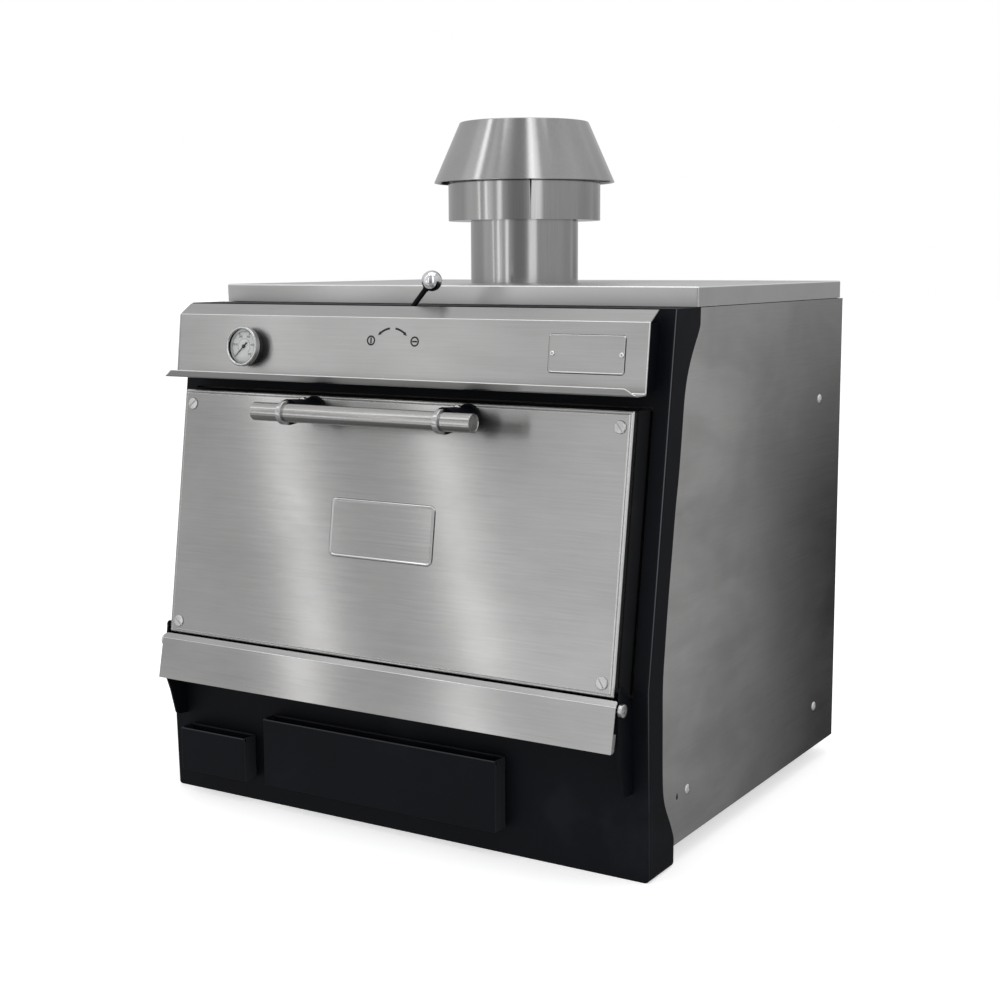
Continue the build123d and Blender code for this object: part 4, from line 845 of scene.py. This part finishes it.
end = [(HALF - 0.5, u3 - 1.6), (HALF, u3 - 3.6)]
right = lip_corner(1) + end
left = [(-x, u) for x, u in right][::-1]
outline = [(-HALF, 0), (HALF, 0)] + right[::-1] + left[::-1]
gx, gu = -281.0, u1 + 51.4
holes = [circle(gx, gu, 7.2, 32)] + [circle(x, u1 + 46.9, 1.6, 16) for x in (279.5, 391.0)]
bm = bmesh.new()
bend(bm, path, 1.5, 2.2, [outline] + holes, 6)
flat_faces = len(bm.faces)
line = [(x, u) for x, u in left[-13:]] + [(x, u) for x, u in right[:13]]
edge_pts = []
for x, u in line:
    f = min(1.0, max(0.0, (u - u3) / (u4 - u3)))
    edge_pts.append(M(x, -172.5 - 3.5 * f - 0.7, 702.5 + 9.5 * f + 0.1))
bead(bm, edge_pts, 0.95)
for side in (-1, 1):
    bead(bm, [M(side * (HALF - 0.5), -144.2 - 0.4 + 12.2 * t / 6, 703.3 + 98.0 * t / 6) for t in range(7)], 0.95)
fascia = seal("fascia_folded", bm, steel_fascia, "oven", ["fascia_panel"], bevel=0.4, rim=steel_highlight_edge)
# the rolled edges get the painted highlight too, as do the rounded edge faces through rim
for f in fascia.data.polygons:
    if f.index >= flat_faces:
        f.material_index = 1

bm = bmesh.new()
rings(bm, FAS, 335, -46.9, [
    (58.9, 24.9, 3.2, 0.62), (59.3, 25.3, 3.6, 0.66), (59.9, 25.9, 4.2, 0.9), (60.5, 26.5, 4.7, 1.05), (61.0, 27.0, 5.0, 1.0),
    (61.4, 27.4, 5.3, 0.72), (61.6, 27.6, 5.4, 0.3), (62.2, 28.2, 5.8, 0.12), (62.2, 28.2, 5.8, -0.05), (60, 26, 4, -0.1),
], 8)
paint_rim_shade(seal("fascia_plate_pressed", bm, steel_fascia, "oven", ["fascia_plate"], sharp=70), FAS, 335, -46.9, 61.2, 27.2)

bm = bmesh.new()
rivet = tool_lathe(soften([(0.95, -3.4), (0.95, 0.2), (1.7, 1.15), (2.9, 1.2), (3.8, 0.5), (3.8, 0.0), (1.55, -0.2), (1.55, -3.4)], 0.15, 2, True), 32, True)
scatter(bm, rivet, [(FAS, x, -46.9, 1.0, 0) for x in (279.5, 391.0)])
core = tool_lathe([(0, -1.2), (0.9, -1.2), (0.9, -3.0), (0, -3.0)], 20)
scatter(bm, core, [(FAS, x, -46.9, 1.0, 0) for x in (279.5, 391.0)])
seal("plate_rivets_set", bm, rivet_mat, "oven", ["plate_rivets"], sharp=40)

# generic damper marks: an arc with an arrow each way, an open and a shut damper
bm = bmesh.new()


def arc_band(face, cx, cy, r, a0, a1, w, n=18):
    inner, outer = [], []
    for k in range(n + 1):
        a = math.radians(a0 + (a1 - a0) * k / n)
        outer.append((cx + (r + w / 2) * math.cos(a), cy + (r + w / 2) * math.sin(a)))
        inner.append((cx + (r - w / 2) * math.cos(a), cy + (r - w / 2) * math.sin(a)))
    return outer + inner[::-1]


INK0, INK1 = -0.02, 0.12
CX, CY, RR = -1.6, -53.0, 36.8
for a0, a1, tip in ((98, 126, 1), (82, 54, -1)):
    slab(bm, FAS, [arc_band(FAS, CX, CY, RR, a0, a1, 3.1)], INK0, INK1)
    a = math.radians(a1 + tip * 3.5)
    tx, ty = CX + RR * math.cos(a), CY + RR * math.sin(a)
    dx, dy = -math.sin(a) * tip, math.cos(a) * tip
    slab(bm, FAS, [[(tx + dx * 4.5, ty + dy * 4.5), (tx - dx * 2.2 - dy * 2.9, ty - dy * 2.2 + dx * 2.9), (tx - dx * 2.2 + dy * 2.9, ty - dy * 2.2 - dx * 2.9)]], INK0, INK1)
for cx, cy, bar in ((-41.0, -35.5, "up"), (40.0, -35.5, "across")):
    slab(bm, FAS, [circle(cx, cy, 7.8, 48), circle(cx, cy, 5.3, 48)[::-1]], INK0, INK1)
    if bar == "up":
        slab(bm, FAS, [[(cx - 1.25, cy - 4.6), (cx + 1.25, cy - 4.6), (cx + 1.25, cy + 4.6), (cx - 1.25, cy + 4.6)]], INK0, INK1)
    else:
        slab(bm, FAS, [[(cx - 4.6, cy - 1.25), (cx + 4.6, cy - 1.25), (cx + 4.6, cy + 1.25), (cx - 4.6, cy + 1.25)]], INK0, INK1)
seal("damper_marks", bm, print_ink, "oven", sharp=40)

# a plain drop on the side panel, by the lower front screw
bm = bmesh.new()
drop = []
for k in range(33):
    a = 2 * math.pi * k / 33
    drop.append((-62.5 + 4.4 * math.sin(a) * math.sin(a / 2) ** 1.5, 104.5 + 5.4 * math.cos(a)))
slab(bm, SIDE, [drop], -0.02, 0.12)
seal("oil_drop_mark", bm, print_ink, "oven", sharp=40)

# ----------------------------------------------------------------------- gauge
GX, GS = -281.0, -51.4
GC = FAS.at(GX, GS, 0)
bm = bmesh.new()
lathe(bm, GC, FAS.n, soften([
    (1.6, -14), (7, -14), (7, 0), (29.4, 0), (30.4, 1.0), (30.4, 6.4), (29.6, 7.2), (30.4, 8.0), (30.4, 19.0), (28.6, 19.0),
    (28.6, 5), (1.6, 5),
], [0, 0.4, 0.3, 0.3, 0.5, 0.4, 0.4, 0.4, 0.1, 0.1, 0.2, 0], 3, True), 96, True)
seal("gauge_case_turned", bm, gauge_black, "oven", ["gauge_case"], sharp=40)
bm = bmesh.new()
lathe(bm, GC, FAS.n, soften([
    (30.55, 12.2), (31.8, 12.2), (31.8, 20.6), (30.6, 22.0), (28.6, 22.0), (27.2, 20.7), (27.2, 19.1), (30.55, 19.1),
], [0.2, 0.5, 1.6, 0.9, 0.9, 0.8, 0.1, 0.2], 4, True), 112, True)
seal("gauge_bezel_turned", bm, bezel_mat, "oven", ["gauge_bezel"], sharp=40)
bm = bmesh.new()
lathe(bm, GC, FAS.n, [(1.4, 12.5), (28.4, 12.5), (28.4, 13.3), (1.4, 13.3)], 96, True)
seal("gauge_dial_plate", bm, dial_paint, "oven", ["gauge_dial"], sharp=40)

bm = bmesh.new()
D0, D1 = 13.25, 13.42
for k in range(51):
    a = math.radians(225 - 270 * k / 50)
    major = k % 10 == 0
    r0, r1, w = (20.8, 24.4, 0.55) if major else ((22.2, 24.4, 0.32) if k % 5 == 0 else (23.0, 24.4, 0.2))
    ux, uy = math.cos(a), math.sin(a)
    slab(bm, FAS, [[
        (GX + ux * r0 - uy * w, GS + uy * r0 + ux * w), (GX + ux * r1 - uy * w, GS + uy * r1 + ux * w),
        (GX + ux * r1 + uy * w, GS + uy * r1 - ux * w), (GX + ux * r0 + uy * w, GS + uy * r0 - ux * w),
    ][::-1]], D0, D1)
slab(bm, FAS, [arc_band(FAS, GX, GS, 24.6, 225, -45, 0.35, 72)], D0, D1)
slab(bm, FAS, [arc_band(FAS, GX, GS, 12.2, 225, -45, 0.25, 60)], D0, D1)
for k in range(28):
    a = math.radians(225 - 270 * k / 27)
    r0, r1, w = 12.2, 13.4 if k % 3 else 14.0, 0.12
    ux, uy = math.cos(a), math.sin(a)
    slab(bm, FAS, [[
        (GX + ux * r0 - uy * w, GS + uy * r0 + ux * w), (GX + ux * r1 - uy * w, GS + uy * r1 + ux * w),
        (GX + ux * r1 + uy * w, GS + uy * r1 - ux * w), (GX + ux * r0 + uy * w, GS + uy * r0 - ux * w),
    ][::-1]], D0, D1)


def write(bm, face, text, x, s, n0, n1, size):
    data = bpy.data.curves.new("tmp_text", "FONT")
    data.body = text
    data.size = size
    data.align_x, data.align_y = "CENTER", "CENTER"
    data.extrude = 0.5
    data.resolution_u = 3
    o = bpy.data.objects.new("tmp_text", data)
    scene.collection.objects.link(o)
    dg = bpy.context.evaluated_depsgraph_get()
    mesh = bpy.data.meshes.new_from_object(o.evaluated_get(dg))
    e = bmesh.new()
    e.from_mesh(mesh)
    bmesh.ops.remove_doubles(e, verts=e.verts, dist=1e-5)
    for v in e.verts:
        px, py, pz = v.co
        v.co = face.at(x + px, s + py, n0 if pz < 0 else n1)
    e.to_mesh(mesh)
    e.free()
    bm.from_mesh(mesh)
    bpy.data.objects.remove(o)
    bpy.data.curves.remove(data)
    bpy.data.meshes.remove(mesh)


for k, label in enumerate(("0", "100", "200", "300", "400", "500")):
    a = math.radians(225 - 54 * k)
    write(bm, FAS, label, GX + 17.4 * math.cos(a), GS + 17.4 * math.sin(a), D0, D1, 5.0)
seal("gauge_scale", bm, print_ink, "oven", sharp=30)

bm = bmesh.new()
ra = math.radians(225)
blade = [(-8.5, -1.7), (-8.5, 1.7), (-5.0, 1.1), (-1.5, 0.9), (14, 0.62), (21.8, 0.18), (21.8, -0.18), (14, -0.62), (-1.5, -0.9), (-5.0, -1.1)]
slab(bm, FAS, [[(GX + u * math.cos(ra) - v * math.sin(ra), GS + u * math.sin(ra) + v * math.cos(ra)) for u, v in blade][::-1]], 14.45, 15.0)
lathe(bm, GC, FAS.n, soften([(0, 14.2), (3.1, 14.2), (3.1, 15.4), (2.2, 16.0), (0, 16.1)], [0, 0.1, 0.5, 0.6, 0], 3), 40)
lathe(bm, GC, FAS.n, [(0, 8.4), (1.3, 8.4), (1.3, 14.3), (0, 14.3)], 20)
seal("gauge_pointer_blade", bm, pointer_paint, "gauge_needle", ["gauge_pointer"], sharp=40)

# ------------------------------------------------------------------------- lip
bm = bmesh.new()
LH = 422.0
path = [(-203.5, 278.2), (-210.4, 270.9), (-224, 206.3)]
w1 = math.hypot(6.9, 7.3)
w2 = w1 + math.hypot(13.6, 64.6)
outline = soften([(-LH, 0), (LH, 0), (LH, w2), (-LH, w2)], [5.0, 3.0, 1.2, 1.2], 5, True)
bend(bm, path, 1.5, 1.3, [outline], 5)
back = bmesh.new()
path2 = [(-163.2, 262.5), (-186, 266.5), (-203.0, 276.6)]
v2 = math.hypot(22.8, 4.0) + math.hypot(17.0, 10.1)
bend(back, path2, 1.5, 2.0, [[(-LH + 7, 0), (LH - 7, 0), (LH - 7, v2), (-LH + 7, v2)]], 4)
tmp = bpy.data.meshes.new("tmp_back")
back.to_mesh(tmp)
back.free()
bm.from_mesh(tmp)
bpy.data.meshes.remove(tmp)
for x0, x1 in ((-LH + 0.1, -LH + 1.6), (LH - 1.6, LH - 0.1)):
    low = [bm.verts.new(M(x0, y, z)) for y, z in ((-222.8, 207.6), (-216.6, 234), (-208.5, 232), (-214.5, 208.6), (-219, 206.4))]
    top = [bm.verts.new(M(x1, v.co.y * 1000 + MID, v.co.z * 1000)) for v in low]
    bm.faces.new(low)
    bm.faces.new(top[::-1])
    for i in range(5):
        j = (i + 1) % 5
        bm.faces.new((low[i], top[i], top[j], low[j]))
# the lip's rounded edges get the painted highlight
seal("sill_lip_folded", bm, steel_x, "oven", ["sill_lip"], bevel=0.45, rim=steel_highlight_edge)

# -------------------------------------------------------------------- fixings
bm = bmesh.new()
head = tool_lathe([(0, 2.5), (3.0, 2.42), (5.0, 2.15), (6.6, 1.6), (7.6, 0.85), (8.0, 0.3), (8.0, -0.2), (0, -0.2)], 48)
head = boolean(head, tool_prism(circle(0, 0, 2.6, 6), 1.1, 5))
shank = tool_lathe([(0, -0.1), (3.0, -0.1), (3.0, -11.4), (2.4, -12), (0, -12)], 20)
spots = []
for face, flip in ((SIDE, 1), (LEFT, -1)):
    for k, (y, z) in enumerate(((489.0, 650.0), (497.0, 106.0), (-27.0, 105.0))):
        spots.append((face, flip * y, z, 0, 17 * k))
for k, (x, z) in enumerate([(x, z) for x in (-428, -214, 214, 428) for z in (60, 790)] + [(-428, 425), (428, 425)]):
    spots.append((REAR, -x, z, 0, 23 * k))
scatter(bm, head, spots)
scatter(bm, shank, spots)
seal("panel_screws_domed", bm, rivet_mat, "oven", ["panel_screws"], bevel=0.15)

bm = bmesh.new()
head = tool_lathe([(0, 6.0), (8.6, 6.0), (9.3, 5.75), (9.8, 5.2), (10, 4.4), (10, -0.1), (0, -0.1)], 56)
head = boolean(head, tool_prism(circle(0, 0, 4.6, 6), 2.6, 9))
shank = tool_lathe([(0, 0), (4.0, 0), (4.0, -9.4), (3.4, -10), (0, -10)], 24)
spots = []
for side, face in ((1, Face(M(423.6, 0, 0), (0, 1, 0), (0, 0, 1), (1, 0, 0))), (-1, Face(M(-423.6, 0, 0), (0, -1, 0), (0, 0, 1), (-1, 0, 0)))):
    spots.append((face, side * -198, 264, 0, 10))
scatter(bm, head, spots)
scatter(bm, shank, spots)
seal("bracket_bolts_capped", bm, screw_mat, "oven", ["bracket_bolts"], bevel=0.2)

# the brackets' plates: a small ear round the pin at the top, a long foot down the frame
PIN_Y, PIN_Z = -193.164, 290.417
outline = [(PIN_Y + 5.9 * math.cos(math.radians(a)), PIN_Z + 5.9 * math.sin(math.radians(a))) for a in range(200, -31, -10)]
outline += [(-172.5, 276), (-168, 270), (-162.4, 262), (-158.9, 131), (-181, 133), (-186, 137), (-197, 178), (-206, 202), (-205, 262), (-201.5, 272)]
for side, name in ((-1, "hinge_bracket_left"), (1, "hinge_bracket_right")):
    bm = bmesh.new()
    x0 = 420.2 if side > 0 else -423.6
    holes = [circle(PIN_Y, PIN_Z, 4.06, 28), circle(-198, 264, 4.2, 28)]
    slab(bm, Face(M(x0, 0, 0), (0, 1, 0), (0, 0, 1), (1, 0, 0)), [outline] + holes, 0.0, 3.4)
    seal(name + "_plate", bm, black, "oven", [name], bevel=0.5)

# ----------------------------------------------------------------- lever, knob
LX = (math.sin(math.radians(42)), 0, math.cos(math.radians(42)))
PIV = M(0, -97, 806)
bm = bmesh.new()
lathe(bm, PIV, LX, soften([(0, 6.2), (4, 6.2), (4, 50.5), (4.9, 51), (4.9, 54.2), (0, 54.2)], [0, 0, 0.3, 0.4, 0.4, 0], 3), 40)
lathe(bm, PIV, (0, 1, 0), soften([(6.02, -5.5), (11, -5.5), (11, 5.5), (6.02, 5.5)], [0, 0.8, 0.8, 0], 4, True), 48, True)
seal("lever_rod_turned", bm, black, "damper", ["lever_rod"], sharp=45)
bm = bmesh.new()
prof = [(0, 53.5), (4.6, 53.5)]
for k in range(1, 41):
    a = math.radians(-72.6 + (162.6 * k / 40))
    prof.append((15.7 * math.cos(a), 68.6 + 15.7 * math.sin(a)) if k < 40 else (0, 84.3))
lathe(bm, PIV, LX, prof, 80)
seal("lever_knob_ball", bm, chrome, "damper", ["lever_knob"], sharp=60)

# ------------------------------------------------------------------------ flue
FY = 256.4
FC = M(0, FY, 0)
bm = bmesh.new()
lathe(bm, FC, (0, 0, 1), soften([(90.0, 848.95), (91.5, 848.95), (91.5, 1012), (90.0, 1012)], [0.1, 0.1, 0.5, 0.5], 3, True), 160, True)
seal("flue_pipe_rolled", bm, steel_z, "oven", ["flue_pipe"], sharp=50)

# the ring's rolled sheet meets in a seam that opens a little towards the top
bm = bmesh.new()
seam = math.radians(-90 + 35.3)
heights = [953.3, 956, 962, 970, 978, 986, 994, 1002, 1010, 1018, 1026, 1034]
N = 180
outer, inner = [], []
for z in heights:
    gap = 0.12 + max(0.0, (z - 976) / 58) * 1.7
    g = gap / 129.1
    ro, ri = [], []
    for k in range(N + 1):
        a = seam + g + (2 * math.pi - 2 * g) * k / N
        for row, r in ((ro, 129.1), (ri, 127.6)):
            row.append(bm.verts.new(M(r * math.cos(a), FY + r * math.sin(a), z)))
    outer.append(ro)
    inner.append(ri)
for i in range(len(heights) - 1):
    for k in range(N):
        bm.faces.new((outer[i][k], outer[i][k + 1], outer[i + 1][k + 1], outer[i + 1][k]))
        bm.faces.new((inner[i][k + 1], inner[i][k], inner[i + 1][k], inner[i + 1][k + 1]))
    for k in (0, N):
        bm.faces.new((outer[i][k], outer[i + 1][k], inner[i + 1][k], inner[i][k]))
for i in (0, len(heights) - 1):
    for k in range(N):
        bm.faces.new((outer[i][k], outer[i][k + 1], inner[i][k + 1], inner[i][k]))
lathe(bm, FC, (0, 0, 1), soften([(91.65, 953.3), (127.55, 953.3), (127.55, 954.8), (91.65, 954.8)], 0.2, 2, True), 160, True)
seal("arrestor_ring_rolled", bm, steel_z, "oven", ["arrestor_ring"], bevel=0.3)

bm = bmesh.new()
lathe(bm, FC, (0, 0, 1), soften([
    (0, 1116.7), (109.0, 1116.7), (153.4, 1016.5), (150.3, 1016.5), (146.0, 1026.2), (147.3, 1026.8), (108.1, 1115.2), (0, 1115.2),
], [0, 1.8, 0.8, 0.8, 0.3, 0.2, 1.0, 0], 4), 192)
seal("flue_cap_spun", bm, steel_z, "oven", ["flue_cap"], sharp=45)

# --------------------------------------------------------------- drawer fronts


def drawer_pan(name, x0, x1, z0, z1, node, body, extra=None):
    """A folded front pan, open at the top as a finger grip, with corner reliefs in its sides."""
    y0, y1 = -190.0, -160.2
    outer = bmesh.new()
    face = Face(M(0, 0, 0), (1, 0, 0), (0, 0, 1), (0, -1, 0))
    slab(outer, face, [[(x0, z0), (x1, z0), (x1, z1), (x0, z1)]], -y1, -y0)
    bmesh.ops.recalc_face_normals(outer, faces=outer.faces)
    bends = [
        e for e in outer.edges
        if all(abs(v.co.y * 1000 + MID - y0) < 0.01 for v in e.verts) and not all(abs(v.co.z * 1000 - z1) < 0.01 for v in e.verts)
    ]
    bmesh.ops.bevel(outer, geom=bends, offset=0.0024, segments=4, profile=0.5, affect="EDGES")
    inner = bmesh.new()
    slab(inner, face, [[(x0 + 2, z0 + 2), (x1 - 2, z0 + 2), (x1 - 2, z1 + 20), (x0 + 2, z1 + 20)]], -y1 + 2, -y0 - 2)
    pan = boolean(outer, inner)
    for sx in (x0, x1):
        cut = bmesh.new()
        side = Face(M(sx - 6, 0, 0), (0, 1, 0), (0, 0, 1), (1, 0, 0))
        slab(cut, side, [soften([(y0 + 2.6, z1 - 7), (y0 + 5.6, z1 - 7), (y0 + 5.6, z1 + 9), (y0 + 2.6, z1 + 9)], [1.4, 1.4, 0, 0], 3, True)], 0, 12)
        pan = boolean(pan, cut)
    if extra:
        tmp = bpy.data.meshes.new("tmp_extra")
        b = extra()
        b.to_mesh(tmp)
        b.free()
        pan.from_mesh(tmp)
        bpy.data.meshes.remove(tmp)
    return seal(name, pan, drawer_coat(name + "_coat", z1 / 1000), body, [node], bevel=0.5)


drawer_pan("ash_drawer_front_folded", -231, 211, 43, 154, "ash_drawer_front", "ash_drawer")


def air_box():
    """The sliding air box behind the small front: open at the back, slotted in both sides."""
    b = bmesh.new()
    face = Face(M(0, 0, 0), (1, 0, 0), (0, 0, 1), (0, -1, 0))
    slab(b, face, [[(-398, 50), (-283, 50), (-283, 105), (-398, 105)]], 40.0, 160.3)
    inner = bmesh.new()
    slab(inner, face, [[(-396.5, 52.25), (-284.5, 52.25), (-284.5, 103.75), (-396.5, 103.75)]], 30.0, 158.2)
    b = boolean(b, inner)
    for k in (-1, 0, 1):
        c = bmesh.new()
        side = Face(M(-420, 0, 0), (0, 1, 0), (0, 0, 1), (1, 0, 0))
        slab(c, side, [rrect(-110, 78 + 14 * k, 30, 3.5, 3.49, 5)], 0, 160)
        b = boolean(b, c)
    return b


drawer_pan("air_drawer_folded", -409, -272, 41, 114, "air_drawer", "air_drawer", air_box)

# ------------------------------------------------------------ camera and light
az, el, roll = math.radians(31.5365), math.radians(8.4621), math.radians(-0.2721)
fwd = Vector((-math.sin(az) * math.cos(el), math.cos(az) * math.cos(el), -math.sin(el)))
right = fwd.cross(Vector((0, 0, 1))).normalized()
up = right.cross(fwd)
cam_x = right * math.cos(roll) + up * math.sin(roll)
cam_y = -right * math.sin(roll) + up * math.cos(roll)
cam_data = bpy.data.cameras.new("camera")
cam_data.sensor_width = 36.0
cam_data.lens = 58.42
cam_data.clip_start, cam_data.clip_end = 0.05, 200.0
camera = bpy.data.objects.new("camera", cam_data)
scene.collection.objects.link(camera)
basis = Matrix((cam_x, cam_y, -fwd)).transposed()
camera.matrix_world = Matrix.Translation(Vector((1.4317, -2.3367, 0.8899))) @ basis.to_4x4()
scene.camera = camera

scene.view_settings.view_transform = "Standard"
scene.view_settings.look = "None"
scene.view_settings.exposure = 0.0

world = bpy.data.worlds.new("studio")
scene.world = world
world.use_nodes = True
wt = world.node_tree
for n in list(wt.nodes):
    wt.nodes.remove(n)


def wmath(op, a, b=0.0, clamp=False):
    n = wt.nodes.new("ShaderNodeMath")
    n.operation = op
    n.use_clamp = clamp
    for i, v in enumerate((a, b)):
        if isinstance(v, (int, float)):
            n.inputs[i].default_value = v
        else:
            wt.links.new(v, n.inputs[i])
    return n.outputs[0]


def wstep(v, a0, a1, b0, b1):
    n = wt.nodes.new("ShaderNodeMapRange")
    n.interpolation_type = "SMOOTHSTEP"
    wt.links.new(v, n.inputs["Value"])
    for k, x in zip(("From Min", "From Max", "To Min", "To Max"), (a0, a1, b0, b1)):
        n.inputs[k].default_value = x
    return n.outputs["Result"]


wc = wt.nodes.new("ShaderNodeTexCoord")
sep = wt.nodes.new("ShaderNodeSeparateXYZ")
wt.links.new(wc.outputs["Generated"], sep.inputs[0])
azimuth = wmath("MULTIPLY", wmath("ARCTAN2", sep.outputs["X"], wmath("MULTIPLY", sep.outputs["Y"], -1.0)), 57.29578)
height = wmath("MULTIPLY", wmath("ARCSINE", sep.outputs["Z"]), 57.29578)


def panel(a, w, soft, lo, hi, fade, gain):
    """A soft tall light panel round azimuth a, w degrees to each side, from height lo to hi."""
    off = wmath("ABSOLUTE", wmath("SUBTRACT", azimuth, a))
    across = wstep(off, w - soft, w + soft, 1.0, 0.0)
    rise = wmath("MULTIPLY", wstep(height, lo - fade, lo + fade, 0.0, 1.0), wstep(height, hi - fade, hi + fade, 1.0, 0.0))
    return wmath("MULTIPLY", wmath("MULTIPLY", across, rise), gain)


level = wstep(height, -25.0, 55.0, 0.46, 0.80)
# the dark side of the room, behind the camera, and the dark corner behind the right side
level = wmath("SUBTRACT", level, panel(20.0, 14.0, 8.0, -30.0, 70.0, 12.0, 0.25))
level = wmath("SUBTRACT", level, wstep(height, 36.0, 50.0, 0.0, 0.16))
level = wmath("SUBTRACT", level, wstep(height, -62.0, -24.0, 0.24, 0.0))
low = wstep(height, -10.0, 4.0, 0.98, 0.1)
back = wmath("MULTIPLY", wstep(azimuth, 155.0, 160.0, 0.04, 1.0), wstep(azimuth, 100.0, 140.0, 0.0, 1.0))
level = wmath("MULTIPLY", level, wmath("SUBTRACT", 1.0, wmath("MULTIPLY", low, back)))
level = wmath("ADD", level, panel(152.5, 5.5, 3.0, -16.0, 1.0, 3.0, 0.1))
for args in (
    (-7.0, 3.2, 1.6, -20.0, 32.0, 6.0, 1.2),
    (-7.0, 3.2, 1.6, 40.0, 75.0, 6.0, 0.08),
    (48.0, 8.5, 3.0, -20.0, 80.0, 10.0, 0.9),
    (-58.0, 10.0, 6.0, -20.0, 60.0, 10.0, 0.2),
    (-26.0, 5.5, 2.0, -20.0, 60.0, 10.0, 0.17),
    (-36.7, 1.8, 1.0, -20.0, 60.0, 10.0, -0.1),
    (-31.8, 1.1, 0.8, -20.0, 60.0, 10.0, -0.1),
    (-25.0, 8.5, 4.0, -14.0, 4.0, 5.0, 0.42),
    (-43.0, 5.0, 3.0, -14.0, 4.0, 5.0, 0.18),
    (135.0, 14.0, 8.0, -30.0, 60.0, 10.0, -0.07),
    (-45.0, 4.0, 1.6, 40.0, 75.0, 8.0, 2.2),
    (42.0, 6.0, 2.5, 38.0, 75.0, 8.0, 0.7),
):
    level = wmath("ADD", level, panel(*args))
grey = wt.nodes.new("ShaderNodeCombineColor")
for k in ("Red", "Green", "Blue"):
    wt.links.new(wmath("MULTIPLY", level, {"Red": 0.995, "Green": 1.0, "Blue": 1.01}[k]), grey.inputs[k])
seen = wt.nodes.new("ShaderNodeBackground")
seen.inputs["Color"].default_value = (1, 1, 1, 1)
seen.inputs["Strength"].default_value = 1.0
lit = wt.nodes.new("ShaderNodeBackground")
wt.links.new(grey.outputs["Color"], lit.inputs["Color"])
lit.inputs["Strength"].default_value = 1.0
path = wt.nodes.new("ShaderNodeLightPath")
mix = wt.nodes.new("ShaderNodeMixShader")
wt.links.new(path.outputs["Is Camera Ray"], mix.inputs["Fac"])
wt.links.new(lit.outputs["Background"], mix.inputs[1])
wt.links.new(seen.outputs["Background"], mix.inputs[2])
wout = wt.nodes.new("ShaderNodeOutputWorld")
wt.links.new(mix.outputs["Shader"], wout.inputs["Surface"])


def softbox(name, loc, target, size, watts):
    data = bpy.data.lights.new(name, "AREA")
    data.shape = "RECTANGLE"
    data.size, data.size_y = size
    data.energy = watts
    o = bpy.data.objects.new(name, data)
    o.location = loc
    o.rotation_euler = (Vector(target) - Vector(loc)).to_track_quat("-Z", "Y").to_euler()
    scene.collection.objects.link(o)
    return o


softbox("softbox_top", (0.2, -0.3, 3.8), (0, 0, 0.4), (3.2, 2.6), 24)

# two tall, narrow softboxes: the door, the lip and the flue show them as soft upright bands
EYE = camera.location


def strip(name, spots, away, width, bright, over=1.5):
    """A strip light seen mirrored in the door at two points (x, s), away metres from it."""
    ends = []
    for x, t in spots:
        p = DOOR.at(x, t, 39.6)
        v = (p - EYE).normalized()
        r = v - DOOR.n * (2 * v.dot(DOOR.n))
        ends.append(p + r * away)
    a, b = ends
    axis = (b - a).normalized()
    mid = (a + b) / 2
    length = (b - a).length + 2 * over
    data = bpy.data.lights.new(name, "AREA")
    data.shape = "RECTANGLE"
    data.size, data.size_y = width, length
    data.energy = bright * math.pi * width * length
    o = bpy.data.objects.new(name, data)
    facing = (DOOR.at(0, 200, 39.6) - mid).normalized()
    z = -(facing - axis * facing.dot(axis)).normalized()
    x = axis.cross(z)
    o.matrix_world = Matrix.Translation(mid) @ Matrix((x, axis, z)).transposed().to_4x4()
    scene.collection.objects.link(o)
    return o


strip("strip_left", [(-205, 330), (-124, 60)], 1.5, 0.08, 1.4)
strip("strip_right", [(95, 330), (186, 40)], 1.5, 0.08, 1.15)

floor_mesh = bpy.data.meshes.new("floor")
bm = bmesh.new()
bmesh.ops.create_grid(bm, x_segments=8, y_segments=8, size=30.0)
bm.to_mesh(floor_mesh)
bm.free()
floor = bpy.data.objects.new("floor", floor_mesh)
scene.collection.objects.link(floor)
fn = Net("pale_floor")
fs = fn.noise(3.0, 3.0, 0.5)
fn.set(Base_Color=fn.ramp(fs, [(0.3, (0.93, 0.93, 0.93)), (0.7, (0.95, 0.95, 0.95))]), Metallic=0.0, Roughness=fn.remap(fs, 0.3, 0.7, 0.75, 0.85))
fn.bsdf.inputs["Specular IOR Level"].default_value = 0.1
fn.bsdf.inputs["Emission Color"].default_value = (1, 1, 1, 1)
fn.bsdf.inputs["Emission Strength"].default_value = 0.5
floor_mesh.materials.append(fn.mat)
floor.visible_glossy = False
